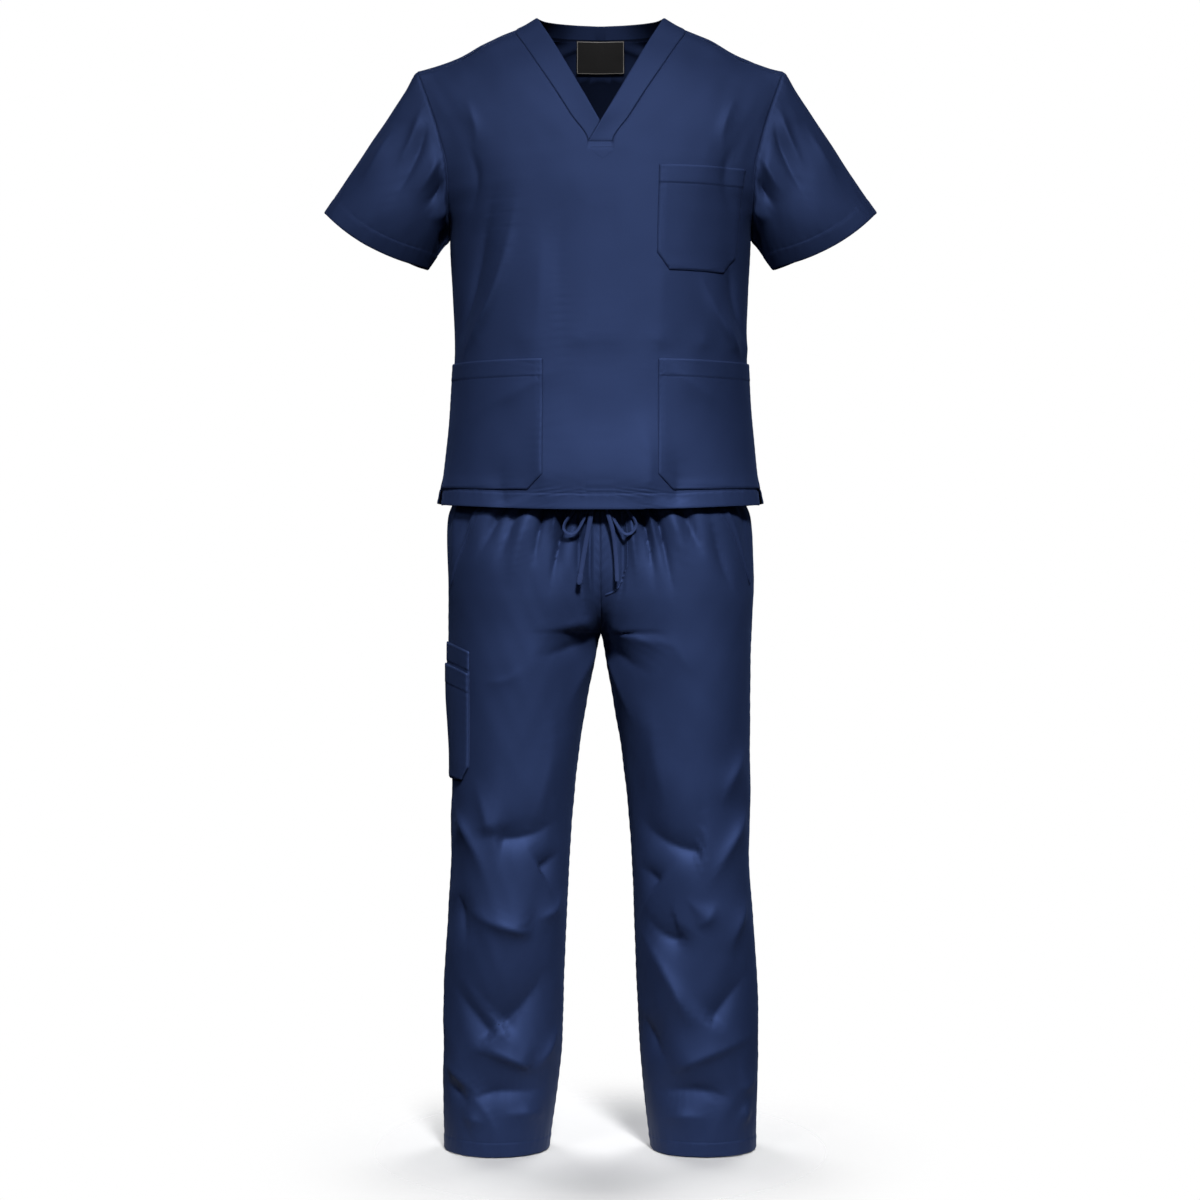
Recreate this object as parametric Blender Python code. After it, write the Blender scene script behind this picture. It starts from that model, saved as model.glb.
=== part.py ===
"""A scrub suit: a short-sleeved V-neck top over drawstring trousers, hollow and as if worn.

Every table is in millimetres and every object in metres. +Z is up, the front faces -Y and the
wearer's left is +X. The origin lies at the base of the neck, midway between the two high
shoulder points, where the shoulders carry the suit.
"""

import math

import bmesh
import bpy
import numpy as np

for old in list(bpy.data.objects):
    bpy.data.objects.remove(old)

# Driving sizes
MM = 0.001
WALL = 2.0 * MM  # the cloth as a wall
SEAM = 0.3 * MM  # the gap between two pieces that are sewn together
LAID = 1.2 * MM  # the gap under a pocket, which bridges the hollows of its panel
TRIM = 0.0012  # the share of a trouser panel's width that its seams take at each edge
CORD = 5.0 * MM  # the drawstring's thickness

NAVY = (0.024, 0.040, 0.105)
CHARCOAL = (0.018, 0.016, 0.016)


def table(names, *rows):
    """Named columns of millimetres, one row for each section."""
    return dict(zip(names.split(), np.array(rows, float).T))


def curve(values, level):
    """A smooth line through values numbered 0, 1, 2 and so on, which never overshoots them."""
    level = np.asarray(level, float)
    steps = np.diff(values)
    product = steps[:-1] * steps[1:]
    joined = np.where(product > 0, steps[:-1] + steps[1:], 1.0)
    level_slopes = np.where(product > 0, 2 * product / joined, 0.0)
    slopes = np.concatenate([steps[:1], level_slopes, steps[-1:]])
    low = np.clip(np.floor(level).astype(int), 0, len(values) - 2)
    part = level - low
    return (
        (2 * part**3 - 3 * part**2 + 1) * values[low]
        + (part**3 - 2 * part**2 + part) * slopes[low]
        + (3 * part**2 - 2 * part**3) * values[low + 1]
        + (part**3 - part**2) * slopes[low + 1]
    )


def raised(shape, u, v, lift, facing):
    """Points of a surface, moved out along its own normal by lift."""
    step = 1e-3
    across = shape(u + step, v) - shape(u - step, v)
    along = shape(u, v + step) - shape(u, v - step)
    normal = np.cross(across, along)
    normal *= facing / np.linalg.norm(normal, axis=-1, keepdims=True)
    return shape(u, v) + normal * np.asarray(lift)[..., None]


# Folds
# Each is a soft ridge or trough along a line through three points, given by the turn round the
# body or limb in degrees (0 is the front, 90 the outer side, 180 the back) and the drop.
FOLD_COLUMNS = "turn_a drop_a turn_b drop_b turn_c drop_c width height peak"


def folds(rows, turn, drop, radius):
    """The height in metres of all the folds at these turns and drops."""
    total = np.zeros(np.broadcast(turn, drop).shape)
    for row in zip(*rows.values()):
        turn_a, drop_a, turn_b, drop_b, turn_c, drop_c, width, height, peak = row
        nearest = np.full(total.shape, np.inf)
        share = np.zeros(total.shape)
        for place in np.linspace(0.0, 1.0, 25):
            start = (1 - place) * (1 - 2 * place)
            middle = 4 * place * (1 - place)
            end = place * (2 * place - 1)
            line_turn = start * turn_a + middle * turn_b + end * turn_c
            line_drop = start * drop_a + middle * drop_b + end * drop_c
            aside = np.radians((turn - line_turn + 180) % 360 - 180) * radius
            away = np.hypot(aside, drop - line_drop)
            share = np.where(away < nearest, place, share)
            nearest = np.minimum(nearest, away)
        rise = np.minimum(share / peak, (1 - share) / (1 - peak))
        swell = rise * rise * (3 - 2 * rise)
        total += height * MM * swell * np.exp(-((nearest / width) ** 2))
    return total


# The top: sections from the hem up. The inner edge runs up the centre strip and then along the
# neckline, and the outer edge up the side seam and then round the armhole.
TOP_COLUMNS = "inner_x inner_y inner_z outer_x outer_y outer_z round bow"
TOP_FRONT = table(
    TOP_COLUMNS,
    (18.5, -131, -742, 237, -20, -732, 90, 1),
    (18.5, -128, -650, 229, 0, -650, 90, 0),
    (18.5, -124, -560, 221.5, 0, -560, 90, 0),
    (18.5, -121, -483, 217.5, 0, -483, 90, 0),
    (18.5, -119, -415, 221.5, 0, -413, 90, 0),
    (18.5, -116, -345, 226, 0, -335, 90, 0),
    (18.5, -112, -290, 226, -36, -296, 74, 0),
    (18.5, -106, -240, 226, -52, -262, 64, 0),
    (18.5, -101, -205, 228, -56, -230, 58, 0),
    (43, -92, -165, 236, -52, -195, 54, 0),
    (67, -80, -125, 245, -43, -163, 50, 0),
    (92, -62, -85, 255, -33, -134, 46, 0),
    (113, -38, -50, 264, -21, -109, 40, 0),
    (128, -14, -24, 272, -10, -87, 30, 0),
    (116, 20, -11, 275, 0, -81, 34, 0),
)
TOP_BACK = table(
    TOP_COLUMNS,
    (6, 120, -735, 246, 14, -728, 90, 1),
    (6, 113, -650, 229, 0, -650, 90, 0),
    (6, 108, -560, 221.5, 0, -560, 90, 0),
    (6, 104, -483, 217.5, 0, -483, 90, 0),
    (6, 106, -415, 221.5, 0, -413, 90, 0),
    (6, 112, -345, 226, 0, -335, 90, 0),
    (6, 116, -280, 231, 42, -296, 72, 0),
    (6, 117, -215, 241, 62, -245, 62, 0),
    (6, 113, -140, 250, 64, -200, 56, 0),
    (6, 101, -70, 258, 55, -160, 50, 0),
    (6, 84, -17, 264, 40, -125, 45, 0),
    (52, 76, -17, 268, 26, -103, 42, 0),
    (92, 52, -17, 272, 12, -90, 38, 0),
    (116, 20, -11, 275, 0, -81, 34, 0),
    (128, -14, -24, 272, -10, -87, 30, 0),
    (113, -38, -50, 264, -21, -109, 40, 0),
)
ARMPIT = 5  # the section where both armholes start
SHOULDER_FRONT = 13  # the shoulder seam; the row after it is the other panel's, for a smooth turn
SHOULDER_BACK = 14
V_POINT = 8  # the front section at the foot of the V
NAPE = 10  # the back section at the neck seam

TOP_FOLDS = table(
    FOLD_COLUMNS,
    (-34, 265, -30, 400, -58, 520, 30, 5, 0.55),
    (-58, 240, -50, 380, -74, 500, 28, -3.5, 0.5),
    (44, 380, 50, 450, 70, 520, 30, 4.5, 0.6),
    (62, 350, 62, 430, 80, 500, 26, -3, 0.5),
    (10, 600, 16, 660, 12, 735, 34, 4, 0.7),
    (-18, 560, -20, 650, -16, 735, 34, 3, 0.6),
    (150, 260, 140, 420, 112, 520, 34, 3.5, 0.5),
    (-146, 280, -142, 420, -110, 530, 34, 3.5, 0.5),
    (172, 420, 168, 560, 160, 700, 38, -4, 0.5),
    (-160, 470, -166, 590, -170, 720, 38, 4, 0.5),
)
TORSO_RADIUS = 175  # turns a fold's angle into a distance round the body


def torso(rows, across, level):
    """A point of the flat-laid curve of a section: across is 0 at the inner edge, 1 at the outer."""
    read = {name: curve(values, level) for name, values in rows.items()}
    arc = np.radians(read["round"])
    out = np.sin(across * arc) / np.sin(arc)
    back = (1 - np.cos(across * arc)) / (1 - np.cos(arc))
    fall = out * (1 + read["bow"] * (out - 1))
    x = read["inner_x"] + (read["outer_x"] - read["inner_x"]) * out
    y = read["inner_y"] + (read["outer_y"] - read["inner_y"]) * back
    z = read["inner_z"] + (read["outer_z"] - read["inner_z"]) * fall
    return np.stack([x, y, z], -1) * MM


def top_skin(rows, side, across, level, lift):
    """Points of the folded cloth of the top, raised by lift; side is -1 to 1 over the centre strip."""
    facing = 1 if rows is TOP_FRONT else -1
    shape = lambda a, b: torso(rows, a, b)
    flat = shape(across, level)
    turn = side * across * 90
    if rows is TOP_BACK:
        turn = np.where(side < 0, -180, 180) - turn
    height = folds(TOP_FOLDS, turn, -flat[..., 2] / MM, TORSO_RADIUS)
    points = raised(shape, across, level, height + lift, facing)
    points[..., 0] *= side
    return points


# Each step of the search for a point moves by its miss over a reach, in millimetres, that is a
# little more than half a panel's width and a section's height
PANEL_REACH = 330
SECTION_REACH = 90
SEARCH_STEPS = 90


def place_on(rows, x, z):
    """The across and level of a panel's point seen straight on at x and z, in millimetres."""
    x, z = np.broadcast_arrays(np.abs(x), z)
    across = np.full(x.shape, 0.5)
    level = np.full(x.shape, 4.0)
    for _ in range(SEARCH_STEPS):
        here = torso(rows, across, level) / MM
        across = np.clip(across + (x - here[..., 0]) / PANEL_REACH, 0.0, 0.999)
        level = np.clip(level + (z - here[..., 2]) / SECTION_REACH, 0.0, SHOULDER_FRONT)
    return across, level


# Solids
def material(name, colour, roughness):
    """The cloth's plain finish."""
    made = bpy.data.materials.new(name)
    made.use_nodes = True
    shader = made.node_tree.nodes["Principled BSDF"]
    shader.inputs["Base Color"].default_value = (*colour, 1)
    shader.inputs["Roughness"].default_value = roughness
    shader.inputs["Metallic"].default_value = 0.0
    return made


def add(name, mesh, colour=NAVY, roughness=0.85):
    """Put a mesh in the scene as one named piece."""
    piece = bpy.data.objects.new(name, mesh)
    piece.data.materials.append(material(name, colour, roughness))
    bpy.context.scene.collection.objects.link(piece)
    return piece


def wall(name, outer, inner, colour=NAVY, cut=None, ring=False):
    """One closed body between two grids of points, without the cells that cut names."""
    rows, columns = outer.shape[:2]
    mesh = bmesh.new()
    verts = [[[mesh.verts.new(p) for p in line] for line in grid] for grid in (outer, inner)]
    edges = {}
    across = columns if ring else columns - 1
    for i in range(rows - 1):
        for j in range(across):
            if cut is not None and cut(i, j):
                continue
            k = (j + 1) % columns
            corners = ((i, j), (i, k), (i + 1, k), (i + 1, j))
            mesh.faces.new([verts[0][a][b] for a, b in corners])
            mesh.faces.new([verts[1][a][b] for a, b in reversed(corners)])
            for start, end in zip(corners, corners[1:] + corners[:1]):
                if (end, start) in edges:
                    del edges[end, start]
                else:
                    edges[start, end] = True
    for (a, b), (c, d) in edges:
        mesh.faces.new([verts[0][c][d], verts[0][a][b], verts[1][a][b], verts[1][c][d]])
    loose = [v for v in mesh.verts if not v.link_faces]
    bmesh.ops.delete(mesh, geom=loose, context="VERTS")
    bmesh.ops.recalc_face_normals(mesh, faces=mesh.faces)
    data = bpy.data.meshes.new(name)
    mesh.to_mesh(data)
    mesh.free()
    data.shade_smooth()
    data.set_sharp_from_angle(angle=math.radians(50))
    return add(name, data, colour)


# The top's front and back
HALF_COLUMNS = 6
SHARES = np.linspace(0.0, 1.0, HALF_COLUMNS + 1)
TOP_TRIM = 0.001  # the share of half the top's width that a side seam takes


def top_grid(rows, levels):
    """The side, across and level of every point of a whole front or back."""
    shares = SHARES.copy()
    shares[-1] -= TOP_TRIM
    side = np.concatenate([-np.ones(HALF_COLUMNS + 1), np.ones(HALF_COLUMNS + 1)])
    across = np.concatenate([shares[::-1], shares])
    return side[None, :], across[None, :], np.array(levels)[:, None]


def section_levels(shoulder):
    """Two sections for each row of the table, ending just short of the shoulder seam."""
    levels = np.arange(0, shoulder + 0.25, 0.5)
    levels[-1] -= 0.006
    return levels


def make_top_panel(name, rows, shoulder, neck_level):
    """The whole front or back, open above its neck point."""
    levels = section_levels(shoulder)
    grid = top_grid(rows, levels)
    above_neck = lambda i, j: j == HALF_COLUMNS and levels[i] > neck_level - 0.01
    wall(name, top_skin(rows, *grid, 0.0), top_skin(rows, *grid, -WALL), cut=above_neck)


make_top_panel("top_front", TOP_FRONT, SHOULDER_FRONT, V_POINT)
make_top_panel("top_back", TOP_BACK, SHOULDER_BACK, NAPE)

# The sleeves: tubes from the armhole to a tilted oval cuff. Their turn is 0 at the shoulder,
# 90 in front, 180 under the arm and 270 behind.
CUFF_TOP = np.array([414.75, 0.0, -292.5]) * MM
CUFF_UNDER = np.array([258.75, 0.0, -378.0]) * MM
CUFF_DEPTH = 42 * MM
CUFF_DROOP_FRONT = 16 * MM
CUFF_DROOP_BACK = 4 * MM
SLEEVE_BULGE = 10 * MM
SLEEVE_RADIUS = 70
SEAM_SHARE = 0.17  # the folds grow over this share of the sleeve's length
SLEEVE_RINGS = 10
SLEEVE_FOLDS = table(
    FOLD_COLUMNS,
    (60, 20, 80, 60, 88, 135, 22, -2.5, 0.5),
    (30, 20, 40, 60, 44, 110, 22, 3, 0.4),
    (130, 10, 128, 40, 110, 80, 20, -2.5, 0.3),
    (300, 20, 285, 60, 275, 140, 24, -2.5, 0.5),
    (230, 10, 235, 40, 250, 90, 20, 3, 0.4),
)


def armhole(turn):
    """The loop of seam points that the sleeve is set into."""
    turn = np.asarray(turn, float) % 360
    front = torso(TOP_FRONT, 1.0, SHOULDER_FRONT - (SHOULDER_FRONT - ARMPIT) * turn / 180)
    back = torso(TOP_BACK, 1.0, SHOULDER_BACK - (SHOULDER_BACK - ARMPIT) * (360 - turn) / 180)
    return np.where((turn < 180)[..., None], front, back)


def cuff(turn):
    """The sleeve's open end."""
    angle = np.radians(turn)
    middle = (CUFF_TOP + CUFF_UNDER) / 2
    long_way = (CUFF_TOP - CUFF_UNDER) / 2
    down = np.cross(long_way, (0.0, 1.0, 0.0))
    down /= -np.linalg.norm(down) * np.sign(down[2])
    droop = np.where(np.sin(angle) > 0, CUFF_DROOP_FRONT, CUFF_DROOP_BACK) * np.sin(angle) ** 2
    deep = np.stack([0 * angle, -CUFF_DEPTH * np.sin(angle), 0 * angle], -1)
    return middle + long_way * np.cos(angle)[..., None] + deep + down * droop[..., None]


def sleeve(turn, along):
    """The sleeve's flat form: along is 0 at the armhole and 1 at the cuff."""
    start = armhole(turn)
    share = np.asarray(along)[..., None]
    swell = -np.sin(np.radians(turn)) * 4 * along * (1 - along) * SLEEVE_BULGE
    bulge = np.stack([0 * swell, swell, 0 * swell], -1)
    return start + (cuff(turn) - start) * share + bulge


def ring_turns():
    """The turns of the panels' own rows round the armhole, so that the seam's points face."""
    front = np.arange(0, 2 * (SHOULDER_FRONT - ARMPIT))
    back = np.arange(0, 2 * (SHOULDER_BACK - ARMPIT))
    return np.concatenate([front * 180 / len(front), 180 + back * 180 / len(back)])


def sleeve_skin(folded, side, turn, along, lift):
    """Points of the folded sleeve, raised by lift."""
    length = np.linalg.norm(cuff(turn) - armhole(turn), axis=-1)
    height = folds(folded, turn, along * length / MM, SLEEVE_RADIUS)
    height = height * np.clip(along / SEAM_SHARE, 0, 1)
    points = raised(sleeve, turn, along, height + lift, 1)
    points[..., 0] *= side
    return points


def corner_at_armhole(turn):
    """The sine of the angle at which the sleeve leaves the body's cloth."""
    front_level = SHOULDER_FRONT - (SHOULDER_FRONT - ARMPIT) * turn / 180
    back_level = SHOULDER_BACK - (SHOULDER_BACK - ARMPIT) * (360 - turn) / 180
    front = raised(lambda a, b: torso(TOP_FRONT, a, b), 1.0, np.maximum(front_level, ARMPIT), 1.0, 1)
    back = raised(lambda a, b: torso(TOP_BACK, a, b), 1.0, np.maximum(back_level, ARMPIT), 1.0, -1)
    body = np.where((turn < 180)[..., None], front, back) - armhole(turn)
    limb = raised(sleeve, turn, np.zeros(turn.shape), 1.0, 1) - armhole(turn)
    return np.linalg.norm(np.cross(body, limb), axis=-1)


def make_sleeve(name, side):
    """A sleeve, which starts past the thickness of the body's cloth at the armhole."""
    turn = ring_turns()[None, :]
    length = np.linalg.norm(cuff(turn) - armhole(turn), axis=-1)
    start = (WALL * corner_at_armhole(turn) + 1.5 * SEAM) / length
    share = np.linspace(0.0, 1.0, SLEEVE_RINGS)[:, None]
    along = start + (1 - start) * share
    turn = np.broadcast_to(turn, along.shape)
    outer = sleeve_skin(SLEEVE_FOLDS, side, turn, along, 0.0)
    inner = sleeve_skin(SLEEVE_FOLDS, side, turn, along, -WALL)
    wall(name, outer, inner, ring=True)


make_sleeve("sleeve_left", 1)
make_sleeve("sleeve_right", -1)

# The neckband: two bands along the V, the wearer's left one lapping to the far corner, and one
# band round the back of the neck. Each row is a point of the band's free edge.
BAND_LAPPED = table(
    "x y z",
    (-18.5, -101, -205),
    (4, -97, -167),
    (27, -84, -126),
    (50, -67, -84),
    (72.5, -42, -42),
    (95, -6, -1),
    (86, 26, 2),
)
BAND_UNDER = table(
    "x y z",
    (0.5, -98, -174),
    (19, -89, -140),
    (38, -77, -105),
    (57, -61, -70),
    (76.5, -38, -34),
    (95, -6, -1),
    (86, 26, 2),
)
BAND_BACK = table(
    "x y z",
    (6, 78, 7),
    (40, 71, 7),
    (68, 52, 5),
    (86, 26, 2),
    (95, -6, -1),
    (76, -39, -36),
)
BAND_STEPS = np.array([0.016, 0.25, 0.5, 0.75, 1.0])
BACK_BAND_START = 0.05  # the back band turns up at its seam, so it starts past the cloth's wall


def band(edge, rows, first, across, level):
    """A strip from the neck seam to the band's free edge."""
    seam = torso(rows, 0.0, level)
    free = np.stack([curve(edge[name], level - first) for name in "xyz"], -1) * MM
    return seam + (free - seam) * np.asarray(across)[..., None]


def band_skin(edge, rows, first, side, across, level, lift):
    """Points of a band, raised by lift."""
    facing = -1 if rows is TOP_FRONT else 1
    shape = lambda a, b: band(edge, rows, first, a, b)
    points = raised(shape, across, level, np.full(np.broadcast(across, level).shape, lift), facing)
    points[..., 0] *= side
    return points


def make_front_band(name, edge, side):
    """A band along one side of the V."""
    level = section_levels(SHOULDER_FRONT)[2 * V_POINT :, None]
    level[0] += 0.02
    across = np.broadcast_to(BAND_STEPS[None, :], (len(level), len(BAND_STEPS)))
    level = np.broadcast_to(level, across.shape)
    skin = lambda lift: band_skin(edge, TOP_FRONT, V_POINT, side, across, level, lift)
    wall(name, skin(0.0), skin(-WALL))


def make_back_band():
    """The band round the back of the neck, from shoulder seam to shoulder seam."""
    half = section_levels(SHOULDER_BACK)[2 * NAPE :]
    level = np.concatenate([half[::-1], half])[None, :]
    side = np.repeat([-1.0, 1.0], len(half))[None, :]
    steps = np.maximum(BAND_STEPS, BACK_BAND_START)
    across = np.broadcast_to(steps[:, None], (len(steps), level.shape[1]))
    level = np.broadcast_to(level, across.shape)
    skin = lambda lift: band_skin(BAND_BACK, TOP_BACK, NAPE, side, across, level, lift)
    wall("neckband_back", skin(0.0), skin(-WALL))


make_front_band("neckband_left", BAND_LAPPED, 1)
make_front_band("neckband_right", BAND_UNDER, -1)
make_back_band()

# The top's pockets: rows from the mouth down, seen straight on
CHEST_POCKET = table(
    "drop near far gape",
    (239, 85, 214, 3),
    (268, 84.5, 210.5, 2),
    (297, 83.5, 207, 1),
    (345, 82, 203, 0),
    (369, 81.5, 199.5, 0),
    (394, 99.5, 181, 0),
)
HIP_POCKET = table(
    "drop near gape",
    (523, 83, 1.5),
    (550, 83, 0.5),
    (590, 83, 0),
    (640, 83, 0),
    (691, 83, 0),
    (714, 106, 0),
)
POCKET_COLUMNS = 8


def make_chest_pocket():
    """The single breast pocket, on the wearer's left."""
    rows = CHEST_POCKET
    share = np.linspace(0, 1, POCKET_COLUMNS)[None, :]
    x = rows["near"][:, None] + (rows["far"] - rows["near"])[:, None] * share
    z = -rows["drop"][:, None] + 0 * x
    across, level = place_on(TOP_FRONT, x, z)
    gape = rows["gape"][:, None] * np.sin(np.pi * share) * MM
    skin = lambda lift: top_skin(TOP_FRONT, np.ones(x.shape), across, level, lift + gape)
    wall("chest_pocket", skin(LAID + WALL), skin(LAID))


def make_hip_pocket(name, side):
    """A large patch pocket caught in the side seam."""
    rows = HIP_POCKET
    near, level = place_on(TOP_FRONT, rows["near"], -rows["drop"])
    share = np.linspace(0, 1, POCKET_COLUMNS)[None, :]
    across = near[:, None] + (0.985 - near)[:, None] * share
    level = level[:, None] + 0 * across
    gape = rows["gape"][:, None] * np.sin(np.pi * share) * MM
    sides = np.full(across.shape, float(side))
    skin = lambda lift: top_skin(TOP_FRONT, sides, across, level, lift + gape)
    wall(name, skin(LAID + WALL), skin(LAID))


make_chest_pocket()
make_hip_pocket("hip_pocket_left", 1)
make_hip_pocket("hip_pocket_right", -1)

# The neck label, inside the back below the neck seam
LABEL_WIDTH = 75
LABEL_TOP = 19  # drops of its edges
LABEL_FOOT = 66
LABEL_THICK = 1.0 * MM


def make_label():
    """A plain woven label."""
    drop = np.linspace(LABEL_TOP, LABEL_FOOT, 5)[:, None]
    x = np.linspace(-LABEL_WIDTH / 2, LABEL_WIDTH / 2, 8)[None, :] + 0 * drop
    across, level = place_on(TOP_BACK, x, -drop)
    skin = lambda lift: top_skin(TOP_BACK, np.sign(x), across, level, lift)
    deep = -WALL - LAID
    wall("neck_label", skin(deep), skin(deep - LABEL_THICK), colour=CHARCOAL)


make_label()

# The trousers: sections from the leg hem up to the top of the waistband. Below the crotch the
# inner edge is the inseam, and above it the centre front or centre back seam.
TROUSERS = table(
    "drop inner outer peak front back front_edge back_edge round",
    (1692, 76, 234, 155, -70, 70, 0, 0, 1),
    (1623, 67, 235, 151, -73, 73, 0, 0, 1),
    (1533, 58, 236, 147, -76, 76, 0, 0, 1),
    (1413, 53, 233, 143, -79, 77, 0, 0, 1),
    (1323, 50, 228, 139, -82, 78, 0, 0, 1),
    (1233, 45, 223, 134, -85, 81, 0, 0, 1),
    (1113, 34, 223, 128.5, -91, 93, 0, 0, 1),
    (1023, 19.5, 225, 122, -98, 106, 0, 0, 1),
    (960, 8, 226.5, 118, -103, 116, 0, 0, 1),
    (930, 2.5, 227, 115, -105, 121, 0, 0, 1),
    (921, 0.2, 227.5, 114, -106, 122, 0, 0, 1),
    (917, 0.2, 228, 114, -107, 124, -32, 36, 0.8),
    (906, 0.2, 228.5, 113, -108, 126, -60, 66, 0.6),
    (888, 0.2, 229, 113, -110, 130, -83, 92, 0.4),
    (862, 0.2, 230, 112, -112, 133, -98, 110, 0.2),
    (825, 0.2, 228.5, 108, -113, 131, -106, 118, 0),
    (785, 0.2, 225, 104, -112, 124, -108, 114, 0),
    (753, 0.2, 221, 98, -110, 115, -107, 108, 0),
    (732, 0.2, 210, 88, -107.5, 108, -105.5, 104, 0),
    (712, 0.2, 191, 75, -104.5, 103, -103.5, 102, 0),
    (672, 0.2, 187, 75, -104, 101, -103, 100, 0),
)
CROTCH = 10
WAIST_SEAM = 19
LEG_RADIUS = 85
SMOOTH_HIP = 760  # no fold reaches above this drop, where the top lies over the trousers
HIP_FADE = 60
LEG_FOLDS_RIGHT = table(
    FOLD_COLUMNS,
    (-50, 905, -30, 930, 10, 960, 26, 5, 0.4),
    (16, 1224, -24, 1217, -53, 1188, 26, -7, 0.3),
    (66, 1185, 38, 1228, 15, 1312, 24, 6, 0.4),
    (53, 1316, 7, 1349, -30, 1361, 26, 6, 0.7),
    (2, 1506, -27, 1459, -49, 1400, 26, -8, 0.3),
    (39, 1528, 2, 1540, -37, 1568, 24, 7, 0.7),
    (24, 1611, -5, 1596, -72, 1602, 24, -6, 0.4),
    (140, 1200, 180, 1225, 225, 1205, 30, -8, 0.5),
    (150, 1290, 185, 1300, 230, 1280, 28, 6, 0.5),
    (130, 1520, 180, 1545, 230, 1525, 28, -7, 0.5),
    (135, 1600, 180, 1610, 235, 1600, 26, 6, 0.5),
    (200, 950, 185, 1010, 170, 1090, 30, 6, 0.4),
)
LEG_FOLDS_LEFT = table(
    FOLD_COLUMNS,
    (-50, 905, -25, 930, 0, 945, 26, 5, 0.6),
    (15, 1244, -30, 1225, -62, 1181, 26, -7, 0.3),
    (72, 1173, 36, 1239, 12, 1305, 24, 6, 0.4),
    (-3, 1358, -29, 1370, -62, 1320, 26, -7, 0.4),
    (-74, 1349, -32, 1420, -6, 1508, 26, 7, 0.7),
    (80, 1512, 20, 1534, -34, 1572, 24, 7, 0.7),
    (-64, 1604, -5, 1594, 33, 1614, 24, -6, 0.6),
    (138, 1215, 182, 1235, 228, 1200, 30, -8, 0.5),
    (145, 1310, 180, 1290, 225, 1300, 28, 6, 0.5),
    (132, 1535, 178, 1530, 228, 1545, 28, -7, 0.5),
    (140, 1610, 182, 1600, 228, 1615, 26, 6, 0.5),
    (195, 960, 182, 1020, 172, 1100, 30, 6, 0.4),
)


def leg(turn, level):
    """The trousers' flat form on the wearer's left. turn runs from -90 at the front's inner edge
    by 0 in front, 90 at the side seam and 180 behind to 270 at the back's inner edge."""
    turn = np.asarray(turn, float)
    read = {name: curve(values, level) for name, values in TROUSERS.items()}
    front = turn <= 90
    deep = np.where(front, read["front"], read["back"])
    edge = np.where(front, read["front_edge"], read["back_edge"])
    angle = np.radians(np.where(front, turn, 180 - turn))
    outer_x = read["peak"] + (read["outer"] - read["peak"]) * np.sin(angle)
    outer_y = deep * np.cos(angle)
    share = 1 + angle / np.radians(90)
    bend = share + read["round"] * (1 - np.cos(share * np.pi / 2) - share)
    inner_x = np.maximum(read["inner"], 0.2)
    inner_x = inner_x + (read["peak"] - inner_x) * bend
    inner_y = edge + (deep - edge) * np.sin(share * np.pi / 2)
    outside = angle >= 0
    x = np.where(outside, outer_x, inner_x)
    y = np.where(outside, outer_y, inner_y)
    return np.stack([x, y, -read["drop"]], -1) * MM


def leg_skin(folded, side, turn, level, lift):
    """Points of the folded trousers, raised by lift."""
    drop = curve(TROUSERS["drop"], level)
    height = folds(folded, turn, drop, LEG_RADIUS)
    height = height * np.clip((drop - SMOOTH_HIP) / HIP_FADE, 0, 1)
    points = raised(leg, turn, level, height + lift, 1)
    points[..., 0] *= side
    return points


LEG_LEVELS = np.concatenate([np.arange(0, 8, 0.5), np.arange(8, WAIST_SEAM + 0.5, 1.0)])
LEG_LEVELS[-1] -= 0.01
INNER_STEPS = np.array([0.0, 0.3, 0.62])
OUTER_STEPS = np.array([0.0, 0.22, 0.44, 0.64, 0.82, 1.0])


def quarter_turns(start):
    """The turns of one panel, from its inner edge to its side seam, kept clear of both seams."""
    turns = np.concatenate([-90 + 90 * INNER_STEPS, 90 * OUTER_STEPS])
    turns[0] += 180 * TRIM
    turns[-1] -= 180 * TRIM
    return turns if start == "front" else 180 - turns


def make_leg_panel(name, side, folded, start):
    """One of the four trouser panels."""
    turn = np.broadcast_to(quarter_turns(start)[None, :], (len(LEG_LEVELS), 9))
    level = np.broadcast_to(LEG_LEVELS[:, None], turn.shape)
    skin = lambda lift: leg_skin(folded, side, turn, level, lift)
    wall(name, skin(0.0), skin(-WALL))


for side, named, folded in ((1, "left", LEG_FOLDS_LEFT), (-1, "right", LEG_FOLDS_RIGHT)):
    make_leg_panel(f"trouser_front_{named}", side, folded, "front")
    make_leg_panel(f"trouser_back_{named}", side, folded, "back")


def make_waistband():
    """The band that holds the elastic and the drawstring, one ring under the top."""
    front = np.concatenate([np.linspace(-88, -8, 5), np.linspace(0, 90, 8)])
    half = np.concatenate([front, 180 - front[::-1][1:]])
    turn = np.concatenate([half, half[::-1]])[None, :]
    side = np.repeat([1.0, -1.0], len(half))[None, :]
    level = np.linspace(WAIST_SEAM + 0.01, WAIST_SEAM + 1, 3)[:, None]
    turn = np.broadcast_to(turn, (3, turn.shape[1]))
    level = np.broadcast_to(level, turn.shape)
    skin = lambda lift: leg_skin(LEG_FOLDS_LEFT, side, turn, level, lift)
    wall("waistband", skin(0.0), skin(-WALL), ring=True)


make_waistband()

# The cargo pocket on the wearer's right leg: two layers over the side seam
CARGO_NEAR = 43  # degrees, its edge towards the front
CARGO_FAR = 137
CARGO_CHAMFER = 8  # degrees that the bottom corners lose
CARGO_BOTTOM = 1138
CARGO_MOUTH = 935
CARGO_OUTER_MOUTH = 967
CARGO_SLANT = 14  # how much lower the mouth is at its front and back ends
CARGO_ROWS = np.array([0.0, 0.2, 0.4, 0.6, 0.78, 0.9, 1.0])


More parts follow.
